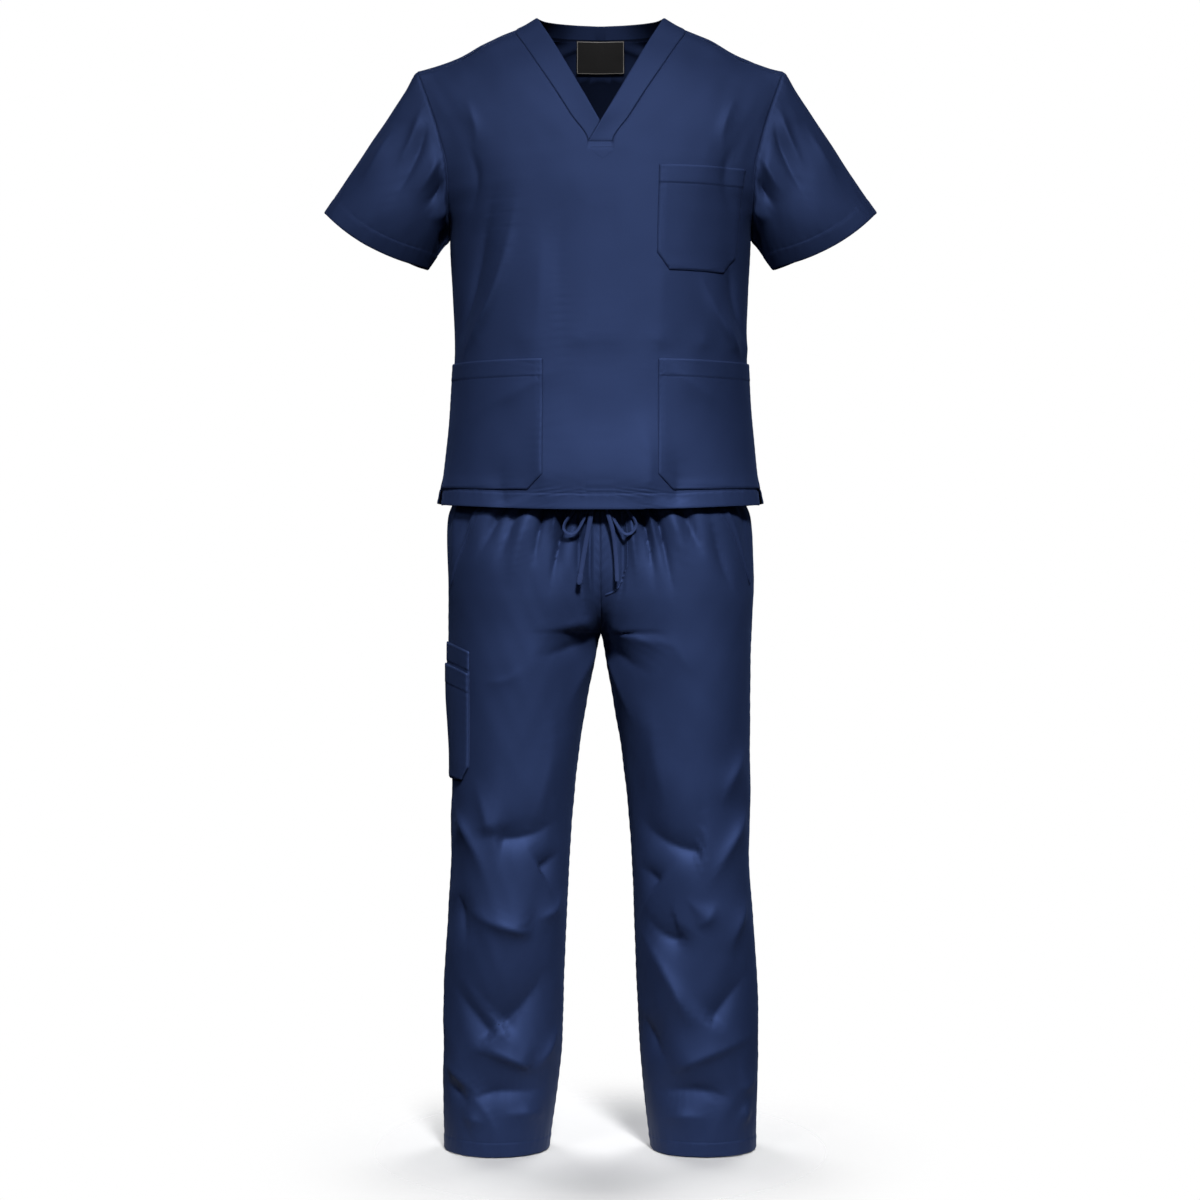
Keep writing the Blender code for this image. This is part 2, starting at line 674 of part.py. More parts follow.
def leg_level(drop):
    """The section level at a drop below the neck."""
    levels = np.linspace(0, CROTCH, 400)
    return np.interp(-drop, -curve(TROUSERS["drop"], levels), levels)


def make_cargo_layer(name, mouth, lift):
    """One layer of the cargo pocket."""
    share = np.linspace(-1, 1, 10)[None, :]
    pulled = np.where(CARGO_ROWS > 0.95, CARGO_CHAMFER, 0)[:, None]
    middle = (CARGO_NEAR + CARGO_FAR) / 2
    turn = middle + share * ((CARGO_FAR - CARGO_NEAR) / 2 - pulled)
    top = mouth + CARGO_SLANT * share**2
    drop = top + (CARGO_BOTTOM - top) * CARGO_ROWS[:, None]
    level = leg_level(drop)
    skin = lambda up: leg_skin(LEG_FOLDS_RIGHT, -1, turn, level, up)
    wall(name, skin(lift + WALL), skin(lift))


make_cargo_layer("cargo_pocket", CARGO_MOUTH, LAID)
make_cargo_layer("cargo_pocket_outer", CARGO_OUTER_MOUTH, 2 * LAID + WALL + SEAM)

# The drawstring: a knot at the waistband's centre, two loops and two tails that hang below the
# top's hem. Each row is a point of the route.
KNOT = (0.0, -109.6, -695.0)
KNOT_SIZE = (22, 13, 17)
KNOT_PINCH = 0.18  # how much thinner its waist is, and how wide the waist is, as shares
KNOT_WAIST = 0.16
CORD_ROUTES = {
    "drawstring_loop_right": (
        (-12.6, -110, -697),
        (-19, -113, -709),
        (-26, -115, -722),
        (-34, -116, -736),
        (-43, -116, -750),
        (-51.5, -116, -762),
        (-52.5, -116, -771),
        (-46, -116, -777),
        (-36.5, -116, -775),
        (-29, -116, -765),
        (-22, -116, -749),
        (-15, -115, -728),
        (-11, -112.5, -712),
        (-9, -110.5, -701.6),
    ),
    "drawstring_loop_left": (
        (12.6, -110, -697),
        (19, -113, -709),
        (26, -115, -723),
        (34, -116, -737),
        (43, -116, -749),
        (50, -116, -759),
        (50.5, -116, -768),
        (43, -116, -776.5),
        (34, -116, -776),
        (25, -116, -765),
        (18, -116, -751),
        (14, -115, -731),
        (11, -112.5, -713),
        (9, -110.5, -701.6),
    ),
    "drawstring_tail_right": (
        (-2.8, -110.5, -703.2),
        (-5, -114, -716),
        (-9, -117.5, -730),
        (-13, -118.5, -746),
        (-17, -118.5, -768),
        (-22, -118.5, -795),
        (-27, -118.5, -825),
        (-31, -118.5, -851),
    ),
    "drawstring_tail_left": (
        (2.8, -110.5, -703.2),
        (4, -114, -716),
        (6.5, -118.5, -731),
        (10, -121, -746),
        (17, -121, -769),
        (21, -119, -794),
        (23, -118.5, -820),
        (24, -118.5, -846),
    ),
}


def smooth_route(points, spacing):
    """Evenly spaced points on one smooth curve through the route's own points."""
    points = np.array(points, float) * MM
    fine = np.linspace(0, len(points) - 1, 400)
    line = np.stack([curve(points[:, axis], fine) for axis in range(3)], -1)
    walked = np.concatenate([[0], np.cumsum(np.linalg.norm(np.diff(line, axis=0), axis=1))])
    count = max(3, round(walked[-1] / spacing) + 1)
    at = np.linspace(0, walked[-1], count)
    return np.stack([np.interp(at, walked, line[:, axis]) for axis in range(3)], -1)


def make_cord(name, route):
    """A stretch of the drawstring as a round tube."""
    points = smooth_route(route, 2.4 * CORD)
    data = bpy.data.curves.new(name, "CURVE")
    data.dimensions = "3D"
    data.bevel_depth = CORD / 2
    data.bevel_resolution = 2
    data.use_fill_caps = True
    spline = data.splines.new("POLY")
    spline.points.add(len(points) - 1)
    for made, place in zip(spline.points, points):
        made.co = (*place, 1.0)
    add(name, data)


def make_knot():
    """The bow's knot: a short fat roll with a waist round its middle."""
    mesh = bmesh.new()
    bmesh.ops.create_uvsphere(mesh, u_segments=14, v_segments=9, radius=0.5)
    for vert in mesh.verts:
        pinch = 1 - KNOT_PINCH * math.exp(-((vert.co.x / KNOT_WAIST) ** 2))
        vert.co.x = KNOT[0] * MM + vert.co.x * KNOT_SIZE[0] * MM
        vert.co.y = KNOT[1] * MM + vert.co.y * KNOT_SIZE[1] * MM * pinch
        vert.co.z = KNOT[2] * MM + vert.co.z * KNOT_SIZE[2] * MM * pinch
    data = bpy.data.meshes.new("drawstring_knot")
    mesh.to_mesh(data)
    mesh.free()
    data.shade_smooth()
    add("drawstring_knot", data)


make_knot()
for cord_name, cord_route in CORD_ROUTES.items():
    make_cord(cord_name, cord_route)
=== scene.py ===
# %% [markdown]
# A scrub suit, cut and sewn in Blender
#
# The suit is a V-neck top over drawstring trousers, in navy poly-cotton twill. It stands as if
# somebody wore it, and nobody does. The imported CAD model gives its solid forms. This lesson dresses
# each one in thin cloth with its folds, seams, hems and thread.
#
# Every table is in millimetres and every object in metres. +Z is up, the front faces -Y, and the
# wearer's left is +X. A drop is a distance below the base of the neck.

import bpy
import numpy as np
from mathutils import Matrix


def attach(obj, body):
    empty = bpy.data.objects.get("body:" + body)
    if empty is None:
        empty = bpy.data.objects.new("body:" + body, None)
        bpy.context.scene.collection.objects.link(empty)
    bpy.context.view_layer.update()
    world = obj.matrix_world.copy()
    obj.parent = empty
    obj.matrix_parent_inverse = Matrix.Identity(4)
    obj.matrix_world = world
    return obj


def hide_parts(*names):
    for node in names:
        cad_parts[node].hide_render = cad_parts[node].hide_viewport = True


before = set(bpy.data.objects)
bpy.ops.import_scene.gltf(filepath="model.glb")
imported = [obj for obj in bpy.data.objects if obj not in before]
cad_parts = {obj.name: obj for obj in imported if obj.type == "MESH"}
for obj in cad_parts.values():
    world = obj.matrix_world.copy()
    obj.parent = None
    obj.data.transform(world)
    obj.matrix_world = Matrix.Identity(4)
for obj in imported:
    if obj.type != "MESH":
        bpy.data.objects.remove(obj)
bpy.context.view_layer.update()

# %% [markdown]
# The camera
#
# A catalogue picture of clothes is taken level with the middle of the garment, from far enough
# away that its edges don't lean. A long lens at 3.4 m does that here: at that distance one pixel of
# the square picture covers 1.5 mm of the suit's middle plane.

# %% Set up the camera
CAMERA_AWAY = 3.4  # metres in front of the suit's middle plane
CAMERA_PLACE = (-0.00075, -CAMERA_AWAY, -0.873)
CAMERA_LENS = 68.0
CAMERA_SENSOR = 36.0

camera_data = bpy.data.cameras.new("camera")
camera_data.lens = CAMERA_LENS
camera_data.sensor_width = CAMERA_SENSOR
camera_data.clip_end = 60.0
camera = bpy.data.objects.new("camera", camera_data)
camera.location = CAMERA_PLACE
camera.rotation_euler = (np.pi / 2, 0.0, 0.0)
bpy.context.scene.collection.objects.link(camera)
bpy.context.scene.camera = camera
print("The camera sees", round(CAMERA_SENSOR / CAMERA_LENS * CAMERA_AWAY, 3), "m across at the suit")

# %% [markdown]
# The studio
#
# The room is a white sweep with no corner. A real one is a paper roll that curves up behind the
# product. A curved backdrop would hide the suit from behind, and so this floor is a disc whose pale
# paper fades into an equally pale world. Only the soft shadow at the hems shows that it is there.

# %% Lay the floor
FLOOR_DROP = 1.6935
FLOOR_RADIUS = 3.2
FLOOR_FADE = (0.10, 0.55)  # where the paper starts to fade, and where it has gone
FLOOR_COLOUR = (0.38, 0.38, 0.382, 1.0)


def feed(tree, socket, value):
    """Link an output to a socket, or set the socket to a constant."""
    if isinstance(value, bpy.types.NodeSocket):
        tree.links.new(value, socket)
    else:
        socket.default_value = value


def node(tree, kind, *inputs, **settings):
    """A new node: its first inputs in order, and other inputs or its properties by name."""
    made = tree.nodes.new(kind)
    for name, value in settings.items():
        if name in made.inputs:
            feed(tree, made.inputs[name], value)
        else:
            setattr(made, name, value)
    for socket, value in zip(made.inputs, inputs):
        feed(tree, socket, value)
    return made


def ranged(tree, value, low, high, bottom=0.0, top=1.0, **settings):
    """A value between low and high brought to the range from bottom to top."""
    return node(tree, "ShaderNodeMapRange", value, low, high, bottom, top, **settings).outputs["Result"]


def new_material(name, constants):
    """A material with its node tree and its main shader, whose constant inputs are set by name."""
    made = bpy.data.materials.new(name)
    made.use_nodes = True
    shader = made.node_tree.nodes["Principled BSDF"]
    for socket, value in constants.items():
        shader.inputs[socket].default_value = value
    return made, made.node_tree, shader


def floor_paper():
    """Matte paper that fades out towards the edge of the disc."""
    finish = {"Base Color": FLOOR_COLOUR, "Roughness": 0.75, "Specular IOR Level": 0.2}
    made, tree, shader = new_material("floor_paper", finish)
    place = node(tree, "ShaderNodeTexCoord").outputs["Object"]
    distance = node(tree, "ShaderNodeVectorMath", place, operation="LENGTH").outputs["Value"]
    fade = ranged(tree, distance, *FLOOR_FADE, 1.0, 0.0, interpolation_type="SMOOTHERSTEP")
    tree.links.new(fade, shader.inputs["Alpha"])
    return made


angles = np.linspace(0, 2 * np.pi, 96, endpoint=False)
disc = [(FLOOR_RADIUS * np.cos(a), FLOOR_RADIUS * np.sin(a), 0.0) for a in angles]
floor_mesh = bpy.data.meshes.new("floor")
floor_mesh.from_pydata(disc, [], [list(range(len(disc)))])
floor_mesh.materials.append(floor_paper())
floor = bpy.data.objects.new("floor", floor_mesh)
floor.location = (0.0, 0.0, -FLOOR_DROP)
bpy.context.scene.collection.objects.link(floor)
print("The floor lies", FLOOR_DROP, "m below the neck")

# %% [markdown]
# The light
#
# Dark cloth swallows light, and a white room would fill every fold from below until none showed.
# So one soft box hangs far off and high in front, where it strikes every part at about the same
# slant and models the folds from the top. A weaker one on the left opens the shadows, a small one
# stands low, and a soft-edged spot makes up for what the legs lose by their distance. Two boxes
# behind light the back. They give no shine, because they would draw a grey rim round the front.
# The world is brighter to the eye than it is as a lamp, and dark below: a photographer lights the
# backdrop by itself and keeps stray light off the cloth, too.

# %% Hang the lamps
WHITE = (1.0, 1.0, 1.0, 1.0)
WORLD_SEEN = 1.0
WORLD_LAMP = (0.42, 0.58, 1.0, 1.0)  # the colour that the room's dim light takes from the cloth
WORLD_ABOVE = 0.12  # how bright the room is as a lamp, overhead
WORLD_BELOW = 0.01
WORLD_EDGE = (-0.1, 0.9)  # the heights of a ray between which the room brightens


def mixed(tree, factor, first, second, blend="MIX"):
    """A colour between two, by a factor; each may be a colour or an output."""
    mix = node(tree, "ShaderNodeMix", factor, data_type="RGBA", blend_type=blend)
    feed(tree, mix.inputs[6], first)
    feed(tree, mix.inputs[7], second)
    return mix.outputs[2]


def light_world():
    """A white world that lights the suit from above and hardly at all from below."""
    world = bpy.data.worlds.new("studio")
    world.use_nodes = True
    tree = world.node_tree
    heading = node(tree, "ShaderNodeTexCoord").outputs["Generated"]
    height = node(tree, "ShaderNodeSeparateXYZ", heading).outputs["Z"]
    ceiling = ranged(tree, height, *WORLD_EDGE, WORLD_BELOW, WORLD_ABOVE)
    seen = node(tree, "ShaderNodeLightPath").outputs["Is Camera Ray"]
    sky = tree.nodes["Background"]
    tree.links.new(mixed(tree, seen, WORLD_LAMP, WHITE), sky.inputs["Color"])
    tree.links.new(ranged(tree, seen, 0.0, 1.0, ceiling, WORLD_SEEN), sky.inputs["Strength"])
    bpy.context.scene.world = world


def hang(data, place, aim_height, power, shines=True):
    """Hang a lamp at a place, turned towards a point of the suit's middle line."""
    data.energy = power
    lamp = bpy.data.objects.new(data.name, data)
    lamp.visible_glossy = shines
    lamp.location = place
    away = np.array(place) - np.array((0.0, 0.0, aim_height))
    lamp.rotation_euler = (
        np.arctan2(np.hypot(away[0], away[1]), away[2]),
        0.0,
        np.arctan2(away[1], away[0]) + np.pi / 2,
    )
    bpy.context.scene.collection.objects.link(lamp)


def soft_box(name, size):
    """A square soft box."""
    data = bpy.data.lights.new(name, "AREA")
    data.shape = "SQUARE"
    data.size = size
    return data


def soft_spot(name, angle, radius):
    """A round lamp with a soft-edged beam."""
    data = bpy.data.lights.new(name, "SPOT")
    data.spot_size = np.radians(angle)
    data.spot_blend = 1.0
    data.shadow_soft_size = radius
    return data


light_world()
hang(soft_box("key", 1.5), (0.9, -5.4, 4.6), -0.9, 490)
hang(soft_box("low", 1.0), (-0.5, -3.6, -0.4), -1.2, 5)
hang(soft_box("left", 1.0), (-2.8, -3.9, 2.9), -0.7, 92)
hang(soft_spot("legs", 14, 0.45), (0.9, -4.6, 3.2), -1.24, 2750)
hang(soft_box("back_left", 1.8), (-1.6, 2.6, 1.6), -0.7, 170, shines=False)
hang(soft_box("back_right", 1.8), (1.6, 2.6, 1.6), -0.7, 170, shines=False)
bpy.context.scene.view_settings.view_transform = "Standard"
print("The studio has", len(bpy.data.lights), "lamps")

# %% [markdown]
# Smooth lines through a few measures
#
# A pattern maker knows a garment by a few sections: how wide and how deep it is at the hem, the
# waist or the armhole. The CAD model joins such sections with one smooth line, and the cloth here
# repeats its tables, so that it lies on the same form. The line never swings past a measure, which
# matters where two panels meet.

# %% Read a table smoothly
MM = 0.001


def table(names, *rows):
    """Named columns of millimetres, one row for each section."""
    return dict(zip(names.split(), np.array(rows, float).T))


def rounded(values, slopes, level):
    """A smooth line through values numbered 0, 1, 2 and so on, with a given slope at each."""
    low = np.clip(np.floor(level).astype(int), 0, len(values) - 2)
    part = level - low
    part = part.reshape(part.shape + (1,) * (values.ndim - 1))
    return (
        (2 * part**3 - 3 * part**2 + 1) * values[low]
        + (part**3 - 2 * part**2 + part) * slopes[low]
        + (3 * part**2 - 2 * part**3) * values[low + 1]
        + (part**3 - part**2) * slopes[low + 1]
    )


def curve(values, level):
    """A smooth line through values numbered 0, 1, 2 and so on, which never overshoots them."""
    steps = np.diff(values)
    product = steps[:-1] * steps[1:]
    both = np.where(product > 0, steps[:-1] + steps[1:], 1.0)
    level_slopes = np.where(product > 0, 2 * product / both, 0.0)
    slopes = np.concatenate([steps[:1], level_slopes, steps[-1:]])
    return rounded(values, slopes, np.asarray(level, float))


def raised(shape, u, v, lift, facing, side=1):
    """Points of a surface, moved out along its own normal by lift, on one side of the suit."""
    step = 1e-3
    across = shape(u + step, v) - shape(u - step, v)
    along = shape(u, v + step) - shape(u, v - step)
    normal = np.cross(across, along)
    normal *= facing / np.linalg.norm(normal, axis=-1, keepdims=True)
    points = shape(u, v) + normal * np.asarray(lift)[..., None]
    points[..., 0] *= side
    return points


def smoothstep(value, start, end):
    """0 before start and 1 after end, with a soft slope between them."""
    share = np.clip((np.asarray(value, float) - start) / (end - start), 0, 1)
    return share * share * (3 - 2 * share)


def bell(distance, width):
    """1 in the middle, falling softly to nothing within about two widths."""
    return np.exp(-((distance / width) ** 2))


def lengths_along(points):
    """How far each point of a line is from its first, along the line."""
    return np.concatenate([[0], np.cumsum(np.linalg.norm(np.diff(points, axis=0), axis=1))])


def picked(points, places, at):
    """Points of a line at the places asked for, where places holds those of its own points."""
    return np.stack([np.interp(at, places, points[:, axis]) for axis in range(3)], -1)


print("A line through 0, 10 and 12 passes", round(float(curve(np.array([0.0, 10, 12]), 1.5)), 2))

# %% [markdown]
# Folds placed one by one
#
# Worn cloth doesn't wrinkle at random. It drags from the points that hold it, buckles behind the
# knee and stacks above the shoe. Cloth simulation finds such folds by itself but puts them where it
# likes. Here each one is drawn instead, as a soft ridge or trough along a line through
# three points, so that its place, length and depth are those of this suit. It is steeper on one
# side than on the other, as a real fold is, and runs out towards both ends. A trough turns sharply
# at its bottom, and a ridge is rounder.

# %% Draw the folds
FOLD_COLUMNS = "turn_a drop_a turn_b drop_b turn_c drop_c width height peak lean"
FOLD_SAMPLES = 33
CREASE_SOFT = 0.8  # millimetres over which the bottom of a trough turns
RIDGE_SOFT = 2.0
UNEVEN_WAVES = 8  # how many waves lie over each other where the cloth is uneven
UNEVEN_GAIN = 1.7  # brings their sum to about 1 at its highest


def folds(rows, turn, drop, radius):
    """The height in metres of all the folds at these turns and drops."""
    total = np.zeros(np.broadcast(turn, drop).shape)
    place = np.linspace(0.0, 1.0, FOLD_SAMPLES)
    weights = ((1 - place) * (1 - 2 * place), 4 * place * (1 - place), place * (2 * place - 1))
    for row in zip(*rows.values()):
        turn_a, drop_a, turn_b, drop_b, turn_c, drop_c, width, height, peak, lean = row
        line_turn = sum(w * t for w, t in zip(weights, (turn_a, turn_b, turn_c)))
        line_drop = sum(w * d for w, d in zip(weights, (drop_a, drop_b, drop_c)))
        run_turn = np.gradient(line_turn) * np.pi / 180 * radius
        run_drop = np.gradient(line_drop)
        nearest = np.full(total.shape, np.inf)
        share = np.zeros(total.shape)
        side = np.zeros(total.shape)
        for i in range(FOLD_SAMPLES):
            aside = np.radians((turn - line_turn[i] + 180) % 360 - 180) * radius
            down = drop - line_drop[i]
            away = np.hypot(aside, down)
            closer = away < nearest
            share = np.where(closer, place[i], share)
            turned = (run_turn[i] * down - run_drop[i] * aside) / np.hypot(run_turn[i], run_drop[i])
            side = np.where(closer, turned / np.maximum(away, 1e-6), side)
            nearest = np.minimum(nearest, away)
        rise = np.minimum(share / peak, (1 - share) / (1 - peak))
        swell = np.clip(rise * rise * (3 - 2 * rise), 0, 1)
        reach = width * (1 + lean * side)
        soft = CREASE_SOFT if height < 0 else RIDGE_SOFT
        fall = (np.hypot(nearest, soft) - soft) / reach
        total += height * MM * swell * np.exp(-fall)
    return total


def unevenness(turn, drop, radius, size, tall, seed):
    """Smooth hills about size apart round the cloth and tall apart along it, from -1 to 1."""
    draw = np.random.default_rng(seed)
    round_x = np.cos(np.radians(turn)) * radius
    round_y = np.sin(np.radians(turn)) * radius
    total = 0.0
    for _ in range(UNEVEN_WAVES):
        heading = draw.uniform(0, 2 * np.pi)
        wave = size * draw.uniform(0.7, 1.5)
        rise = tall * draw.uniform(0.7, 1.5) * draw.choice([-1, 1])
        phase = draw.uniform(0, 2 * np.pi)
        across = (round_x * np.cos(heading) + round_y * np.sin(heading)) / wave
        total = total + np.sin(2 * np.pi * (across + drop / rise) + phase)
    return total / UNEVEN_WAVES * UNEVEN_GAIN


print("Each fold is looked up at", FOLD_SAMPLES, "points of its line")

# %% [markdown]
# A panel of cloth
#
# A panel is a sheet with two faces. Blender could thicken a flat sheet with a Solidify modifier.
# Here each panel is laid out as two grids of points, the outer face and the inner face, with a rim
# that joins them: then a hem can be thicker than the cloth above it, and every edge is closed. A
# grid in metres also gives the weave its true scale, by the UV map.

# %% Join two grids into a panel
CLOTH = 1.1 * MM  # the thickness of one layer, as shown


def cell_corners(rows, columns, ring):
    """The four corner numbers of each cell of a grid, row by row."""
    wide = columns if ring else columns - 1
    row, column = np.meshgrid(np.arange(rows - 1), np.arange(wide), indexing="ij")
    after = (column + 1) % columns
    corners = [row * columns + column, row * columns + after]
    corners += [(row + 1) * columns + after, (row + 1) * columns + column]
    return np.stack(corners, -1).reshape(-1, 4)


def open_edges(cells):
    """The directed edges of the cells that no neighbour shares."""
    starts = cells.reshape(-1)
    ends = np.roll(cells, -1, axis=1).reshape(-1)
    most = starts.max() + 1
    shared = np.isin(starts * most + ends, ends * most + starts)
    return starts[~shared], ends[~shared]


def add_piece(name, mesh, material, slot, *replaced):
    """Put a mesh in the scene as one named piece of the suit."""
    mesh.materials.append(material)
    piece = bpy.data.objects.new(name, mesh)
    bpy.context.scene.collection.objects.link(piece)
    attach(piece, "root")
    if replaced:
        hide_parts(*replaced)
    return piece


def held_volume(points, quads):
    """Six times the volume inside the quads, below zero if they face inwards."""
    a, b, c, d = (points[quads[:, corner]] for corner in range(4))
    return float((np.cross(b - a, c - a) * a).sum() + (np.cross(c - a, d - a) * a).sum())


def smooth_mesh(name, points, faces, uv=None, sharp=None):
    """A smooth mesh, with its UV map and the angle in degrees from which an edge is sharp."""
    mesh = bpy.data.meshes.new(name)
    mesh.from_pydata(points.reshape(-1, 3).tolist(), [], faces)
    if uv is not None:
        order = np.empty(len(mesh.loops), np.int32)
        mesh.loops.foreach_get("vertex_index", order)
        layer = mesh.uv_layers.new(name="cloth")
        layer.data.foreach_set("uv", uv.reshape(-1, 2)[order].astype(np.float32).reshape(-1))
    mesh.shade_smooth()
    if sharp is not None:
        mesh.set_sharp_from_angle(angle=np.radians(sharp))
    return mesh


def panel_mesh(name, outer, inner, uv, keep=None, ring=False, wear=0.0, wrong=1.0):
    """A closed panel between two grids of points. keep marks the cells that are cloth."""
    grid = outer.shape[:2]
    count = grid[0] * grid[1]
    cells = cell_corners(*grid, ring)
    if keep is not None:
        cells = cells[keep.reshape(-1)]
    starts, ends = open_edges(cells)
    rim = np.stack([ends, starts, starts + count, ends + count], -1)
    quads = np.concatenate([cells, cells[:, ::-1] + count, rim])
    used, quads = np.unique(quads, return_inverse=True)
    quads = quads.reshape(-1, 4)

    def both(near, far):
        """Values of the outer and the inner face, for the points that are used."""
        return np.concatenate([near.reshape(count, -1), far.reshape(count, -1)])[used]

    points = both(outer, inner)
    if held_volume(points - points.mean(axis=0), quads) < 0:
        quads = quads[:, ::-1]
    mesh = smooth_mesh(name, points, quads.tolist(), both(uv, uv), sharp=70)
    # Two attributes for the colour: edge wear with a painted highlight, and the inner face's painted shade.
    for mark, near, far in (("wear", wear, wear), ("wrong_side", 0.0, wrong)):
        values = both(*(np.broadcast_to(side, grid) for side in (near, far)))
        marks = mesh.attributes.new(mark, "FLOAT", "POINT")
        marks.data.foreach_set("value", np.clip(values, 0, 1).astype(np.float32).reshape(-1))
    return mesh


def strip_areas(points):
    """The area of a grid of points, in square metres."""
    across = points[:-1, 1:] - points[:-1, :-1]
    along = points[1:, :-1] - points[:-1, :-1]
    return float(np.linalg.norm(np.cross(across, along), axis=-1).sum())


print("One layer of cloth is shown", CLOTH / MM, "mm thick")

# %% [markdown]
# Where a grid needs more lines
#
# A fold needs a line of points every 4 mm. A stitched edge or a seam needs one every millimetre,
# or its roll is lost. Even spacing would make every panel sixteen times as heavy, so the lines
# gather only where something is sewn.

# %% Space the lines of a grid


def spaced(start, end, step, sewn=(), fine=1.1, reach=4.5):
    """Places from start to end in millimetres, a step apart, but fine near each sewn place."""
    places = [start]
    sewn = np.array(sewn, float)
    while places[-1] < end:
        here = places[-1]
        near = np.abs(sewn - here).min() if len(sewn) else np.inf
        ahead = sewn[sewn > here]
        gap = (ahead.min() - reach - here) if len(ahead) else np.inf
        stride = fine if near < reach else min(step, max(fine, 0.35 * (near - reach) + fine))
        if 0 < gap < stride:
            stride = max(gap, fine)
        places.append(here + stride)
    places = np.array(places)
    return start + (places - start) * (end - start) / (places[-1] - start)


print("A 100 mm run with one seam has", len(spaced(0, 100, 4, [50])), "lines")

# %% [markdown]
# Stitches
#
# Every hem and pocket of the suit is topstitched in navy thread. Seen from a step away a line of
# stitches is only a dotted dent, but close up each one is a short raised thread that dives into the
# cloth at both ends. A bump map can't give that dive, so each stitch is a small mesh: three rings
# of five points with closed ends. The panels hand in their lines while they are made, and the
# stitches are sewn at the end, as one piece for each garment.

# %% Mark the stitching
STITCH_PITCH = 3.2 * MM
STITCH_LONG = 2.5 * MM
STITCH_RISE = 0.16 * MM
STITCH_DIVE = -0.20 * MM  # how deep its ends go into the cloth
THREAD = 0.42 * MM
THREAD_SIDES = 5
stitch_lines = {"top": [], "trousers": []}


def mark_line(garment, outer, inner, distance, at, rows=None, across=False):
    """Mark stitches where distance reaches at: on every column of a grid, or across every row."""
    if rows:
        outer, inner, distance = outer[rows], inner[rows], distance[rows]
    if across:
        outer, inner, distance = outer.transpose(1, 0, 2), inner.transpose(1, 0, 2), distance.T
    if distance[0].mean() > distance[-1].mean():
        outer, inner, distance = outer[::-1], inner[::-1], distance[::-1]
    reached = np.flatnonzero((distance.min(axis=0) < at) & (distance.max(axis=0) > at))
    out = outer - inner
    line = [picked(outer[:, column], distance[:, column], at) for column in reached]
    away = [picked(out[:, column], distance[:, column], at) for column in reached]
    stitch_lines[garment].append((np.array(line), np.array(away)))


def sew(name, lines):
    """One piece with all the stitches along the lines."""
    angle = np.linspace(0, 2 * np.pi, THREAD_SIDES, endpoint=False)
    rings, total = [], 0.0
    for line, out in lines:
        gone = lengths_along(line)
        total += gone[-1]
        starts = np.arange(0.3 * STITCH_PITCH, gone[-1] - STITCH_LONG, STITCH_PITCH)
        up = picked(out, gone, starts + STITCH_LONG / 2)
        up /= np.linalg.norm(up, axis=1, keepdims=True)
        ahead = picked(line, gone, starts + STITCH_LONG) - picked(line, gone, starts)
        ahead /= np.linalg.norm(ahead, axis=1, keepdims=True)
        side = np.cross(ahead, up)
        for at, rise, thick in ((0.0, STITCH_DIVE, 0.6), (0.5, STITCH_RISE, 1.0), (1.0, STITCH_DIVE, 0.6)):
            centre = picked(line, gone, starts + at * STITCH_LONG) + up * rise
            ring = side[:, None] * np.cos(angle)[None, :, None] + up[:, None] * np.sin(angle)[None, :, None]
            rings.append(centre[:, None] + ring * thick * THREAD / 2)
    stitches = np.concatenate([np.stack(rings[i : i + 3], 1) for i in range(0, len(rings), 3)])
    first = np.arange(len(stitches))[:, None, None] * 3 * THREAD_SIDES
    sides = first + cell_corners(3, THREAD_SIDES, True)[None]
    near = first[:, 0] + np.arange(THREAD_SIDES)[::-1]
    far = first[:, 0] + 2 * THREAD_SIDES + np.arange(THREAD_SIDES)
    mesh = smooth_mesh(name, stitches, sides.reshape(-1, 4).tolist() + near.tolist() + far.tolist())
    print(name, "has", len(stitches), "stitches over", round(total, 2), "m")
    return add_piece(name, mesh, navy_thread, "cloth")


print("There are", round(1 / STITCH_PITCH), "stitches to the metre")

# %% [markdown]
# The drawstring
#
# The trousers tie at the waist with a woven tape, knotted in a bow: two loops and two free tails.
# A limp tape hangs nearly straight down and lies flat on the cloth behind it. A Blender curve with
# a bevel would give a round tube, so the tape is swept by hand instead: a flat oval section, 6 to
# 7 mm wide, whose broad side faces the cloth and which twists a little on its way. The routes are
# those of the CAD model.

# %% Sweep a tape along its route
TAPE_THICK = 1.9 * MM
TAPE_SIDES = 12
TAPE_STEP = 2.0 * MM


def through(points, places):
    """A rounded line through points, at places numbered 0, 1, 2 and so on."""
    return rounded(points, np.gradient(points, axis=0), places)


def smooth_route(points, spacing):
    """Evenly spaced points on one rounded line through the route's own points."""
    line = through(np.array(points, float) * MM, np.linspace(0, len(points) - 1, 600))
    gone = lengths_along(line)
    at = np.linspace(0, gone[-1], max(3, round(gone[-1] / spacing) + 1))
    return picked(line, gone, at), gone[-1]


